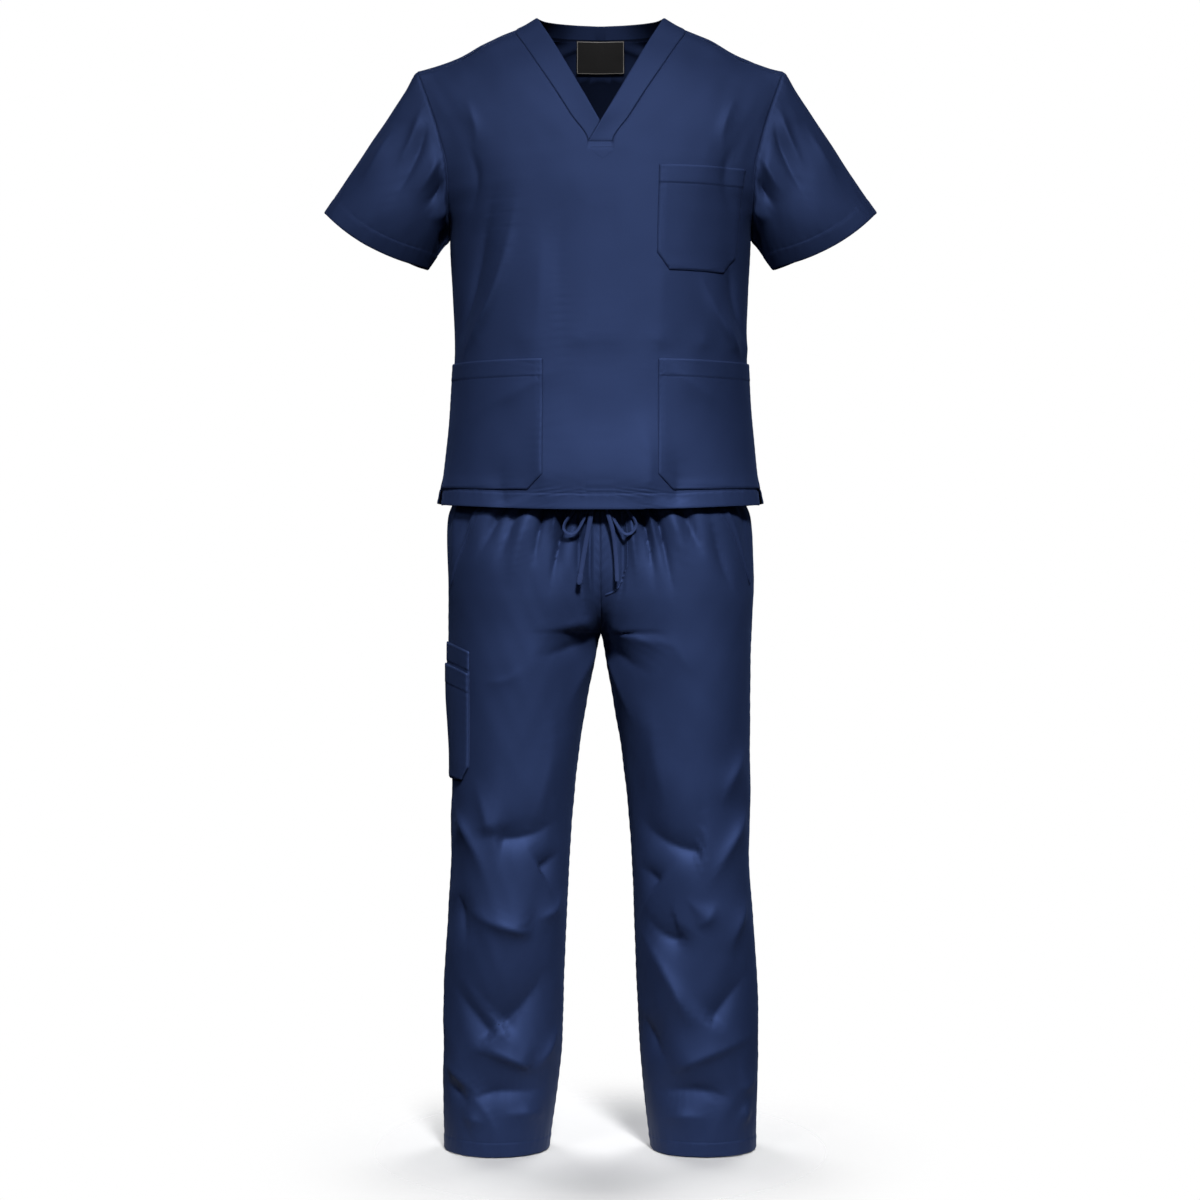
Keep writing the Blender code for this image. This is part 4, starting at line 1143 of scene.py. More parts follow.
def cuff(turn):
    """The sleeve's open end."""
    angle = np.radians(turn)
    middle = (CUFF_TOP + CUFF_UNDER) / 2
    long_way = (CUFF_TOP - CUFF_UNDER) / 2
    down = np.cross(long_way, (0.0, 1.0, 0.0))
    down /= -np.linalg.norm(down) * np.sign(down[2])
    droop = np.where(np.sin(angle) > 0, CUFF_DROOP_FRONT, CUFF_DROOP_BACK) * np.sin(angle) ** 2
    deep = np.stack([0 * angle, -CUFF_DEPTH * np.sin(angle), 0 * angle], -1)
    return middle + long_way * np.cos(angle)[..., None] + deep + down * droop[..., None]


def sleeve(turn, along):
    """The sleeve's smooth form: along is 0 at the armhole and 1 at the cuff."""
    start = armhole(turn)
    share = np.asarray(along)[..., None]
    swell = -np.sin(np.radians(turn)) * 4 * along * (1 - along) * SLEEVE_BULGE
    bulge = np.stack([0 * swell, swell, 0 * swell], -1)
    return start + (cuff(turn) - start) * share + bulge


def sleeve_folds(turn, along, seed):
    """How far the sleeve's cloth stands off its smooth form, in metres."""
    drop = along * sleeve_length(turn)
    height = folds(SLEEVE_FOLDS, turn, drop, SLEEVE_RADIUS)
    height = height + 0.8 * MM * unevenness(turn, drop, SLEEVE_RADIUS, 60, 180, seed)
    height = height + 0.2 * MM * unevenness(turn, drop, SLEEVE_RADIUS, 24, 60, seed + 1)
    return height * np.clip(along / SEAM_SHARE, 0, 1)


def sleeve_length(turn):
    """The sleeve's length in millimetres, from the armhole to the cuff."""
    return np.linalg.norm(cuff(turn) - armhole(turn), axis=-1) / MM


def sleeve_cloth(side, turn, along, height):
    """Points of the sleeve at a height over its smooth form."""
    return raised(sleeve, turn, along, height, 1, side)


def make_sleeve(name, side, seed):
    """One sleeve, from just outside the armhole seam to its hem."""
    turn = np.linspace(0, 360, SLEEVE_COLUMNS, endpoint=False)[None, :]
    length = sleeve_length(turn)
    start = 0.5 / length
    rows = spaced(0, 150, 3.6, (0.0, 5.0, 150 - SLEEVE_HEM, 150)) / 150
    along = start + (1 - start) * rows[:, None]
    turn = np.broadcast_to(turn, along.shape)
    around = np.radians(turn) * SLEEVE_RADIUS
    from_seam = along * length
    from_cuff = (1 - along) * length
    lift = turned_under(from_seam, 0.9, 1.3) + turned_under(from_cuff, 0.6)
    lift = lift + SLEEVE_PUFF * smoothstep(from_seam, 0.5, 6) * (1 - smoothstep(from_seam, 10, 34))
    lift = lift + stitched(from_cuff - SLEEVE_HEM, 0.35) + hem_ledge(from_cuff, SLEEVE_HEM)
    lift = lift + puckered(around, from_cuff - SLEEVE_HEM, 13.0, 0.25, 7.0)
    lift = lift + puckered(around, from_seam - 3, 11.0, 0.3, 7.0)
    height = sleeve_folds(turn, along, seed)
    depth = CLOTH + SECOND_LAYER * within_hem(from_cuff, SLEEVE_HEM)
    outer = sleeve_cloth(side, turn, along, height + lift)
    inner = sleeve_cloth(side, turn, along, height - depth)
    mark_line("top", outer, inner, from_cuff, SLEEVE_HEM - 0.8)
    # Cuff and seam edges are lightened: wear, and a painted highlight.
    wear = worn_and_lit_edge(from_cuff, 0.5) + worn_and_lit_edge(from_seam, 0.35)
    add_panel("cloth_" + name, outer, inner, (around, -from_seam), name, ring=True, wear=wear)


make_sleeve("sleeve_left", 1, 20)
make_sleeve("sleeve_right", -1, 30)

# %% [markdown]
# The neckband
#
# A V-neck is finished with a band cut double and folded along its free edge. It is in three parts:
# one round the back of the neck, and two down the V, where the wearer's left one laps over the
# right one and is squared off. Each part is a strip from the neck seam to the fold, a little
# thicker than the body's cloth, with both of its long edges rolled.

# %% Bind the neck
BAND_LAPPED = table(
    "x y z",
    (-18.5, -101, -205),
    (4, -97, -167),
    (27, -84, -126),
    (50, -67, -84),
    (72.5, -42, -42),
    (95, -6, -1),
    (86, 26, 2),
)
BAND_UNDER = table(
    "x y z",
    (0.5, -98, -174),
    (19, -89, -140),
    (38, -77, -105),
    (57, -61, -70),
    (76.5, -38, -34),
    (95, -6, -1),
    (86, 26, 2),
)
BAND_BACK = table(
    "x y z",
    (6, 78, 7),
    (40, 71, 7),
    (68, 52, 5),
    (86, 26, 2),
    (95, -6, -1),
    (76, -39, -36),
)
BAND_WIDTH = 30.0
BAND_COLUMNS = spaced(0, BAND_WIDTH, 3.0, (0.0, BAND_WIDTH), 0.7, 2.5) / BAND_WIDTH
BAND_DEPTH = 1.5 * MM
BAND_START = 0.012  # how far across the bands begin, clear of the seam
BAND_START_BACK = 0.035
BAND_INNER_SHADE = 0.12  # the band is double, so its right side shows within the neck too, and its inner face gets little painted shade


def band(edge, rows, first, across, level):
    """A strip from the neck seam to the band's free edge."""
    seam = torso(rows, 0.0, level)
    free = np.stack([curve(edge[name], level - first) for name in "xyz"], -1) * MM
    return seam + (free - seam) * across[..., None]


def band_skin(edge, rows, first, side, across, level, lift):
    """Points of a band, raised by lift."""
    facing = -1 if rows is TOP_FRONT else 1
    return raised(lambda a, b: band(edge, rows, first, a, b), across, level, lift, facing, side)


def band_lift(across, along):
    """The rolls of a band's seam and fold, a hollow between them, and its faint ripples."""
    from_seam = across * BAND_WIDTH
    from_fold = (1 - across) * BAND_WIDTH
    lift = 0.35 * MM + turned_under(from_seam, 1.1, 1.0) + turned_under(from_fold, 0.9, 1.0)
    lift = lift - 0.25 * MM * np.sin(np.pi * across) + puckered(along, from_seam, 10.0, 0.15, 8.0)
    return lift + turned_under(along, 0.4) + turned_under(along[-1:] - along, 0.4)


def make_band(name, edge, rows, first, levels, sides, start=BAND_START):
    """One part of the neckband."""
    level, across = np.meshgrid(levels, start + (1 - start) * BAND_COLUMNS, indexing="ij")
    side = np.broadcast_to(sides[:, None], level.shape)
    along = distances(band_skin(edge, rows, first, side, across, level, 0.0))[1]
    from_fold = (1 - across) * BAND_WIDTH
    outer = band_skin(edge, rows, first, side, across, level, band_lift(across, along))
    inner = band_skin(edge, rows, first, side, across, level, -BAND_DEPTH - 0.4 * turned_under(from_fold))
    laid = (along, across * BAND_WIDTH)
    # The fold is lightened by wear and a painted highlight; the inner face gets a little painted shade.
    add_panel("cloth_" + name, outer, inner, laid, name, wear=worn_and_lit_edge(from_fold, 0.5, 1.3), wrong=BAND_INNER_SHADE)


front_levels = V_POINT + np.linspace(0.012, SHOULDER_FRONT - V_POINT - SHOULDER_GAP, 78)
back_half = NAPE + np.linspace(0.0, SHOULDER_BACK - NAPE - SHOULDER_GAP, 50)
back_levels = np.concatenate([back_half[::-1], back_half])
back_sides = np.repeat([-1.0, 1.0], len(back_half))
one_side = np.ones(len(front_levels))
make_band("neckband_left", BAND_LAPPED, TOP_FRONT, V_POINT, front_levels, one_side)
make_band("neckband_right", BAND_UNDER, TOP_FRONT, V_POINT, front_levels, -one_side)
make_band("neckband_back", BAND_BACK, TOP_BACK, NAPE, back_levels, back_sides, BAND_START_BACK)

# %% [markdown]
# The pockets of the top
#
# A patch pocket is a plain piece with its edges pressed under, laid on the garment and stitched
# round three sides. Its mouth has a deeper hem. It follows the folds of the cloth below it, so its
# points are found on the front panel, straight behind the place where a viewer sees them, and
# lifted. The mouths gape by a few millimetres, and the pressed edges roll down to the front.

# %% Sew on the pockets
PANEL_REACH = 330  # the search below moves by shares of a panel's width and of a section's height
SECTION_REACH = 90
SEARCH_STEPS = 90
POCKET_LIFT = 0.45 * MM
POCKET_STAND = 1.9 * MM
POCKET_SINK = 0.45 * MM  # how much lower a pocket's middle lies than its edges
POCKET_LEDGE = 0.5 * MM  # the step below the hem of its mouth
POCKET_ROW = 2.2  # how far its stitches run from the edge


def place_on(rows, x, z):
    """The across and level of a panel's point seen straight on at x and z, in millimetres."""
    x, z = np.broadcast_arrays(np.abs(x), z)
    across = np.full(x.shape, 0.5)
    level = np.full(x.shape, 4.0)
    for _ in range(SEARCH_STEPS):
        here = torso(rows, across, level) / MM
        across = np.clip(across + (x - here[..., 0]) / PANEL_REACH, 0.0, 0.999)
        level = np.clip(level + (z - here[..., 2]) / SECTION_REACH, 0.0, SHOULDER_FRONT)
    return across, level


CHEST_POCKET = table(
    "drop near far gape",
    (239, 85, 214, 3),
    (268, 84.5, 210.5, 2),
    (297, 83.5, 207, 1),
    (345, 82, 203, 0),
    (369, 81.5, 199.5, 0),
    (394, 99.5, 181, 0),
)
HIP_POCKET = table(
    "drop near gape",
    (523, 83, 2.2),
    (550, 83, 0.8),
    (590, 83, 0),
    (640, 83, 0),
    (691, 83, 0),
    (714, 106, 0),
)


def pocket_rows(rows, mouth_hem, corner):
    """Drops for a pocket's lines of points, and each column of its table at those drops."""
    top, bottom = rows["drop"][0], rows["drop"][-1]
    drops = spaced(top, bottom, 4.0, (top, top + mouth_hem, bottom))
    drops[np.argmin(np.abs(drops - corner))] = corner
    return drops, {name: np.interp(drops, rows["drop"], values) for name, values in rows.items()}


def pocket_seams(from_edge, u, v, hem, ripple=0.2):
    """The hem of a pocket's mouth, and the stitches and ripples along its edges."""
    lift = POCKET_LEDGE * (1 - smoothstep(v, hem - 0.5, hem + 0.9))
    lift = lift + stitched(v - hem, 0.3) + stitched(from_edge - POCKET_ROW, 0.25, 0.9)
    return lift + puckered(v, from_edge, 12.0, ripple, 8.0) + puckered(u, v - hem, 11.0, 0.2, 6.0)


def mark_pocket(garment, outer, inner, u, v, hem, sides):
    """Mark the stitches of a pocket: its mouth's hem, its sides and its foot."""
    mark_line(garment, outer, inner, v, hem)
    for from_side in sides:
        mark_line(garment, outer, inner, from_side, POCKET_ROW, across=True)
    mark_line(garment, outer, inner, v[-1:] - v, POCKET_ROW)


def pocket_wear(from_edge, v):
    """How worn a pocket is just inside its edges and its mouth, with a painted highlight there."""
    return worn_and_lit_edge(np.minimum(from_edge, v) - 0.8, 0.6, 1.2)


def make_patch(name, side, across, level, gape, hem, double):
    """A patch pocket on the front; its mouth gapes, and its hem is stitched and ends at these depths."""
    u, v = distances(top_skin(TOP_FRONT, side, across, level, 0.0))
    other_side = u[:, -1:] - u
    from_edge = np.minimum(np.minimum(u, other_side), v[-1:] - v)
    bow = gape * np.sin(np.pi * u / u[:, -1:]) * MM
    lift = POCKET_LIFT + POCKET_STAND * (1 - np.exp(-((from_edge / 1.3) ** 1.5)))
    lift = lift - POCKET_SINK * smoothstep(from_edge, 9, 22) + turned_under(v, 0.6)
    lift = lift + pocket_seams(from_edge, u, v, hem) + bow
    under = POCKET_LIFT * 0.6 + np.maximum(bow - 0.3 * MM * within_hem(v, double), 0)
    outer = top_skin(TOP_FRONT, side, across, level, lift)
    inner = top_skin(TOP_FRONT, side, across, level, np.minimum(under, lift - 0.3 * MM))
    sides = (other_side, u) if name == "chest_pocket" else (u,)
    mark_pocket("top", outer, inner, u, v, hem, sides)
    add_panel("cloth_" + name, outer, inner, (u * side, -v), name, wear=pocket_wear(from_edge, v))


def make_chest_pocket():
    """The single breast pocket, on the wearer's left."""
    drops, read = pocket_rows(CHEST_POCKET, 29.0, 369.0)
    share = spaced(0, 125, 4.0, (0.0, POCKET_ROW, 125 - POCKET_ROW, 125))[None, :] / 125
    x = read["near"][:, None] + (read["far"] - read["near"])[:, None] * share
    across, level = place_on(TOP_FRONT, x, -drops[:, None])
    make_patch("chest_pocket", 1, across, level, read["gape"][:, None], 27.0, 27.0)


def make_hip_pocket(name, side):
    """A large patch pocket, caught in the side seam."""
    drops, read = pocket_rows(HIP_POCKET, 24.0, 691.0)
    near, level = place_on(TOP_FRONT, read["near"], -drops)
    share = spaced(0, 205, 4.0, (0.0, POCKET_ROW, 205))[None, :] / 205
    across, level = np.broadcast_arrays(near[:, None] + (0.986 - near)[:, None] * share, level[:, None])
    make_patch(name, side, across, level, read["gape"][:, None], 25.0, 30.0)


make_chest_pocket()
make_hip_pocket("hip_pocket_left", 1)
make_hip_pocket("hip_pocket_right", -1)

# %% [markdown]
# The neck label
#
# A woven label is a stiff satin ribbon, folded and sewn inside the back of the neck. This one is
# plain: charcoal, with a light line woven in just inside its edge. The line is part of the
# material, worked out from the UV map, which runs from 0 to 1 over the label in both directions.

# %% Sew in the label
LABEL_WIDTH = 75
LABEL_TOP = 14  # drops of its edges
LABEL_FOOT = 62
LABEL_TALL = LABEL_FOOT - LABEL_TOP
LABEL_LOW = 36  # above this drop it goes on straight, clear of the neck seam
NAPE_LEAN = 0.32  # how far the back comes forward for each millimetre up
LABEL_STAND = 3.4 * MM  # how far it hangs in front of the back, over the neck seam
LABEL_THICK = 0.9 * MM
LABEL_BOW = 0.9 * MM
LABEL_LINE = (0.012, 0.022)  # the light line, as shares of the label's width in from its edge
LINE_COLOUR = (0.22, 0.21, 0.20, 1.0)
CHARCOAL = ((0.0045, 0.0042, 0.0042, 1.0), (0.012, 0.011, 0.011, 1.0))


def label_material():
    """Charcoal satin with fine threads and a light border line."""
    made, tree, shader = new_material("label_satin", {"Roughness": 0.7, "Specular IOR Level": 0.25})

    def sums(operation, first, second):
        return node(tree, "ShaderNodeMath", first, second, operation=operation).outputs[0]

    place = node(tree, "ShaderNodeUVMap", uv_map="cloth").outputs["UV"]
    split = node(tree, "ShaderNodeSeparateXYZ", place)
    from_middle = (sums("ABSOLUTE", sums("SUBTRACT", split.outputs[axis], 0.5), 0.0) for axis in "XY")
    across, down = (sums("SUBTRACT", 0.5, away) for away in from_middle)
    inset = sums("MINIMUM", across, sums("MULTIPLY", down, LABEL_TALL / LABEL_WIDTH))
    inside, outside = sums("GREATER_THAN", inset, LABEL_LINE[0]), sums("LESS_THAN", inset, LABEL_LINE[1])
    thread = noise(tree, 1400.0, 2.0)
    base = mixed(tree, sums("MULTIPLY", inside, outside), mixed(tree, thread, *CHARCOAL), LINE_COLOUR)
    tree.links.new(base, shader.inputs["Base Color"])
    add_bump(tree, shader, thread, 0.3, 0.1 * MM)
    return made


def make_label():
    """The label, with a slight bow away from the cloth between its sewn edges."""
    drop = spaced(LABEL_TOP, LABEL_FOOT, 2.5, (LABEL_TOP, LABEL_FOOT), 0.6, 1.8)[:, None]
    x = spaced(0, LABEL_WIDTH, 2.5, (0.0, LABEL_WIDTH), 0.6, 1.8)[None, :] - LABEL_WIDTH / 2
    drop, x = np.broadcast_arrays(drop, x)
    on_back = np.maximum(drop, LABEL_LOW)
    across, level = place_on(TOP_BACK, x, -on_back)
    share = (x + LABEL_WIDTH / 2) / LABEL_WIDTH
    down = (drop - LABEL_TOP) / LABEL_TALL
    bow = LABEL_BOW * np.sin(np.pi * share) * np.sin(np.pi * down)
    from_side, from_end = np.minimum(share, 1 - share) * LABEL_WIDTH, np.minimum(down, 1 - down) * LABEL_TALL
    edge = turned_under(np.minimum(from_side, from_end), 0.4, 0.7)
    near = top_skin(TOP_BACK, np.sign(x), across, level, -CLOTH - LABEL_STAND - LABEL_THICK - bow - edge)
    far = top_skin(TOP_BACK, np.sign(x), across, level, -CLOTH - LABEL_STAND - bow * 0.8)
    for points in (near, far):
        points[..., 2] -= (drop - on_back) * MM
        points[..., 1] += NAPE_LEAN * (drop - on_back) * MM
    mesh = panel_mesh("label", near, far, np.stack([share, down], -1))
    add_piece("label", mesh, label_material(), "label", "neck_label")
    print("The label is", LABEL_WIDTH, "x", LABEL_TALL, "mm, and has", len(mesh.polygons), "faces")


make_label()

# %% [markdown]
# The form of the trousers
#
# The trousers are cut as four panels, a front and a back for each leg. A section is an oval round
# the leg below the crotch and half of the hips above it, where the front and back meet at centre
# seams. turn runs from -90 at the front's inner edge by 0 in front, 90 at the side seam and 180
# behind to 270 at the back's inner edge.

# %% The trousers' sections
TROUSERS = table(
    "drop inner outer peak front back front_edge back_edge round",
    (1692, 76, 234, 155, -70, 70, 0, 0, 1),
    (1623, 67, 235, 151, -73, 73, 0, 0, 1),
    (1533, 58, 236, 147, -76, 76, 0, 0, 1),
    (1413, 53, 233, 143, -79, 77, 0, 0, 1),
    (1323, 50, 228, 139, -82, 78, 0, 0, 1),
    (1233, 45, 223, 134, -85, 81, 0, 0, 1),
    (1113, 34, 223, 128.5, -91, 93, 0, 0, 1),
    (1023, 19.5, 225, 122, -98, 106, 0, 0, 1),
    (960, 8, 226.5, 118, -103, 116, 0, 0, 1),
    (930, 2.5, 227.1, 115, -104.7, 120, 0, 0, 1),
    (921, 0.2, 227.3, 114.3, -105.3, 121.5, 0, 0, 1),
    (917, 0.2, 227.4, 114, -105.6, 122.2, -32, 36, 0.8),
    (906, 0.2, 227.8, 113.5, -106.6, 124.2, -60, 66, 0.6),
    (888, 0.2, 228.5, 113, -108.6, 127.8, -83, 92, 0.4),
    (862, 0.2, 229.3, 112, -111.2, 132, -98, 110, 0.2),
    (825, 0.2, 228.5, 108, -113, 131, -106, 118, 0),
    (785, 0.2, 227, 104, -112, 124, -108, 114, 0),
    (753, 0.2, 225, 98, -110, 115, -107, 108, 0),
    (732, 0.2, 218, 88, -107.5, 108, -105.5, 104, 0),
    (712, 0.2, 197, 75, -104.5, 103, -103.5, 102, 0),
    (672, 0.2, 187, 75, -104, 101, -103, 100, 0),
)
CROTCH = 10
WAIST_SEAM = 19
LEG_RADIUS = 85
SMOOTH_HIP = 735  # no long fold reaches above this drop, where the top lies over the trousers
HIP_FADE = 45


def leg(turn, level):
    """A point of the trousers' smooth form on the wearer's left."""
    turn = np.asarray(turn, float)
    read = {name: curve(values, level) for name, values in TROUSERS.items()}
    in_front = turn <= 90
    deep = np.where(in_front, read["front"], read["back"])
    edge = np.where(in_front, read["front_edge"], read["back_edge"])
    angle = np.radians(np.where(in_front, turn, 180 - turn))
    outer_x = read["peak"] + (read["outer"] - read["peak"]) * np.sin(angle)
    outer_y = deep * np.cos(angle)
    share = 1 + angle / np.radians(90)
    bend = share + read["round"] * (1 - np.cos(share * np.pi / 2) - share)
    inner_x = np.maximum(read["inner"], 0.2)
    inner_x = inner_x + (read["peak"] - inner_x) * bend
    inner_y = edge + (deep - edge) * np.sin(share * np.pi / 2)
    outside = angle >= 0
    x = np.where(outside, outer_x, inner_x)
    y = np.where(outside, outer_y, inner_y)
    return np.stack([x, y, -read["drop"]], -1) * MM


print("A leg is", round(TROUSERS["outer"][0] - TROUSERS["inner"][0]), "mm wide at its hem")

# %% [markdown]
# The folds of the trousers
#
# Legs show the most folds. Drags start at the crotch and run out over the thigh. Behind and beside
# the knee the cloth buckles, and a long diagonal runs from the outer thigh down to the inner knee.
# Above the hem the leg stacks in short crossing ridges, because the trousers are a little long.
# The waistband's elastic and drawstring gather small upright pleats just below it.

# %% Fold the legs
LEG_FOLDS_RIGHT = table(
    FOLD_COLUMNS,
    (-86, 895, -45, 909, -8, 920, 14.95, 9, 0.35, 0.35),
    (-64, 931, -38, 945, -9, 961, 19.2, -10.1, 0.4, 0),
    (-84, 935, -60, 985, -42, 1060, 16.1, 6.9, 0.3, 0.35),
    (-30, 1010, -34, 1110, -20, 1215, 23, 6.2, 0.6, 0.28),
    (16, 1224, -24, 1217, -53, 1188, 20.8, -15.2, 0.15, 0.2),
    (39, 1129, 27, 1173, 17, 1222, 16.1, 9, 0.8, 0.28),
    (-62, 1239, -45, 1258, -32, 1271, 17.6, -13.5, 0.85, 0.16),
    (66, 1185, 38, 1228, 15, 1312, 13.8, 11.7, 0.35, -0.35),
    (53, 1316, 7, 1349, -30, 1361, 14.95, 12.4, 0.7, 0.39),
    (57, 1299, 46, 1345, 37, 1392, 17.6, -11, 0.4, 0),
    (-70, 1300, -52, 1330, -28, 1342, 13.8, 8.3, 0.6, 0.28),
    (2, 1506, -27, 1459, -49, 1400, 22.4, -16.9, 0.15, 0.2),
    (6, 1520, 33, 1474, 60, 1430, 22.4, -15.2, 0.15, -0.2),
    (39, 1528, 2, 1540, -37, 1568, 14.95, 14.5, 0.75, 0.42),
    (-70, 1500, -50, 1540, -24, 1580, 13.8, 9, 0.5, 0.28),
    (24, 1611, -5, 1596, -72, 1602, 20.8, -15.2, 0.4, 0.2),
    (70, 1560, 48, 1575, 20, 1604, 13.8, 9, 0.6, 0.28),
    (-60, 1640, -30, 1628, 0, 1634, 13.8, 6.9, 0.5, 0.28),
    (40, 1645, 25, 1638, 10, 1650, 11.5, 6.2, 0.5, 0),
    (68, 1584, 48, 1600, 28, 1620, 17.6, -11, 0.5, 0.16),
    (80, 1150, 96, 1190, 120, 1210, 18.4, 5.98, 0.5, 0.28),
    (78, 1240, 105, 1262, 140, 1250, 24, -7.02, 0.4, 0.16),
    (84, 1390, 100, 1450, 130, 1490, 18.4, 5.98, 0.5, -0.28),
    (75, 1500, 100, 1530, 135, 1540, 22.4, -7.02, 0.5, 0.16),
    (80, 1575, 105, 1590, 140, 1585, 14.95, 5.98, 0.5, 0.28),
    (135, 1180, 180, 1206, 228, 1190, 28.8, -11.34, 0.5, 0.2),
    (140, 1222, 182, 1246, 224, 1236, 18.4, 8.28, 0.5, 0.35),
    (146, 1285, 185, 1296, 232, 1272, 18.4, 7.36, 0.5, 0.28),
    (150, 1330, 172, 1352, 205, 1360, 25.6, -7.02, 0.5, 0.16),
    (152, 1080, 160, 1140, 172, 1190, 23, 4.6, 0.7, 0.28),
    (214, 1075, 206, 1130, 196, 1185, 23, 4.6, 0.7, -0.28),
    (130, 1512, 180, 1540, 230, 1522, 25.6, -9.72, 0.5, 0.2),
    (140, 1556, 176, 1572, 226, 1566, 16.1, 7.82, 0.5, 0.35),
    (135, 1606, 180, 1618, 235, 1604, 14.95, 7.36, 0.5, 0.28),
    (150, 1420, 176, 1460, 196, 1500, 20.7, 4.6, 0.6, 0.28),
    (262, 950, 232, 985, 196, 1010, 28.8, -7.02, 0.3, 0.16),
    (264, 925, 226, 936, 188, 928, 18.4, 7.36, 0.35, 0.28),
    (254, 1000, 236, 1060, 214, 1130, 20.7, 4.6, 0.4, 0.28),
    (150, 800, 165, 860, 200, 905, 27.6, 4.6, 0.5, 0.28),
    (-9, 954, 10, 990, 36, 983, 6, 1.5, 0.5, 0.3),
)
LEG_FOLDS_LEFT = table(
    FOLD_COLUMNS,
    (-84, 895, -42, 924, -1, 941, 16.1, 11, 0.5, 0.35),
    (-80, 922, -50, 958, -20, 985, 19.2, -8.4, 0.4, 0),
    (-84, 940, -62, 1000, -46, 1080, 16.1, 6.9, 0.3, 0.35),
    (-26, 1000, -30, 1100, -18, 1200, 23, 5.5, 0.6, 0.28),
    (15, 1244, -30, 1225, -62, 1181, 20.8, -15.2, 0.15, 0.2),
    (75, 1081, 45, 1129, 30, 1181, 17.25, 9, 0.5, -0.35),
    (72, 1173, 36, 1239, 12, 1305, 13.8, 11.7, 0.35, -0.35),
    (-66, 1262, -48, 1276, -34, 1292, 17.6, -11, 0.8, 0.16),
    (-3, 1358, -29, 1370, -62, 1320, 20.8, -15.2, 0.4, 0.2),
    (-74, 1349, -32, 1420, -6, 1508, 14.95, 12.4, 0.7, 0.39),
    (66, 1312, 43, 1356, 32, 1400, 13.8, 9.7, 0.4, 0.28),
    (20, 1310, 12, 1340, -4, 1352, 13.8, 6.9, 0.5, 0.28),
    (80, 1512, 20, 1534, -34, 1572, 14.95, 9.66, 0.75, 0.42),
    (6, 1500, 33, 1455, 60, 1415, 20.8, -13.5, 0.2, -0.2),
    (-70, 1480, -54, 1520, -30, 1560, 19.2, -11, 0.5, 0.16),
    (-64, 1604, -5, 1594, 33, 1614, 20.8, -15.2, 0.55, 0.2),
    (76, 1570, 56, 1590, 36, 1596, 13.8, 5.98, 0.6, 0.28),
    (-50, 1645, -20, 1632, 8, 1640, 13.8, 6.9, 0.5, 0.28),
    (40, 1620, 49, 1633, 57, 1647, 11.5, 6.2, 0.5, 0),
    (80, 1130, 100, 1180, 126, 1205, 18.4, 5.98, 0.5, 0.28),
    (80, 1235, 110, 1256, 145, 1246, 24, -7.02, 0.4, 0.16),
    (84, 1400, 104, 1448, 134, 1480, 18.4, 5.98, 0.5, -0.28),
    (78, 1515, 104, 1536, 138, 1530, 22.4, -7.02, 0.5, 0.16),
    (82, 1580, 108, 1600, 142, 1596, 14.95, 5.98, 0.5, 0.28),
    (138, 1195, 182, 1216, 228, 1184, 28.8, -11.34, 0.5, 0.2),
    (136, 1240, 176, 1252, 220, 1228, 18.4, 8.28, 0.5, 0.35),
    (145, 1306, 180, 1288, 225, 1298, 18.4, 7.36, 0.5, 0.28),
    (156, 1350, 180, 1366, 210, 1352, 25.6, -7.02, 0.5, 0.16),
    (150, 1070, 162, 1130, 176, 1180, 23, 4.6, 0.7, 0.28),
    (212, 1085, 204, 1140, 192, 1190, 23, 4.6, 0.7, -0.28),
    (132, 1528, 178, 1524, 228, 1540, 25.6, -9.72, 0.5, 0.2),
    (136, 1564, 184, 1578, 226, 1556, 16.1, 7.82, 0.5, 0.35),
    (140, 1612, 182, 1602, 228, 1618, 14.95, 7.36, 0.5, 0.28),
    (158, 1410, 172, 1452, 204, 1492, 20.7, 4.6, 0.6, 0.28),
    (262, 945, 230, 978, 190, 1000, 28.8, -7.02, 0.3, 0.16),
    (264, 925, 228, 932, 184, 940, 18.4, 7.36, 0.35, 0.28),
    (256, 1010, 238, 1070, 216, 1140, 20.7, 4.6, 0.4, 0.28),
    (152, 790, 168, 850, 204, 900, 27.6, 4.6, 0.5, 0.28),
    (-5, 911, -2, 949, 11, 984, 6, 1.5, 0.5, 0.3),
)
print("The legs have", len(LEG_FOLDS_RIGHT["width"]), "and", len(LEG_FOLDS_LEFT["width"]), "folds")

# %% [markdown]
# The four trouser panels
#
# Each panel is a grid from its inner seam to its side seam and from the hem to the waist seam. The
# inseams and the side seams are pressed open valleys, with the front's edge a trace higher, as on a
# felled seam. Small upright pleats run down from the waist seam, each of its own length and depth,
# because elastic and a drawstring draw the cloth in there.

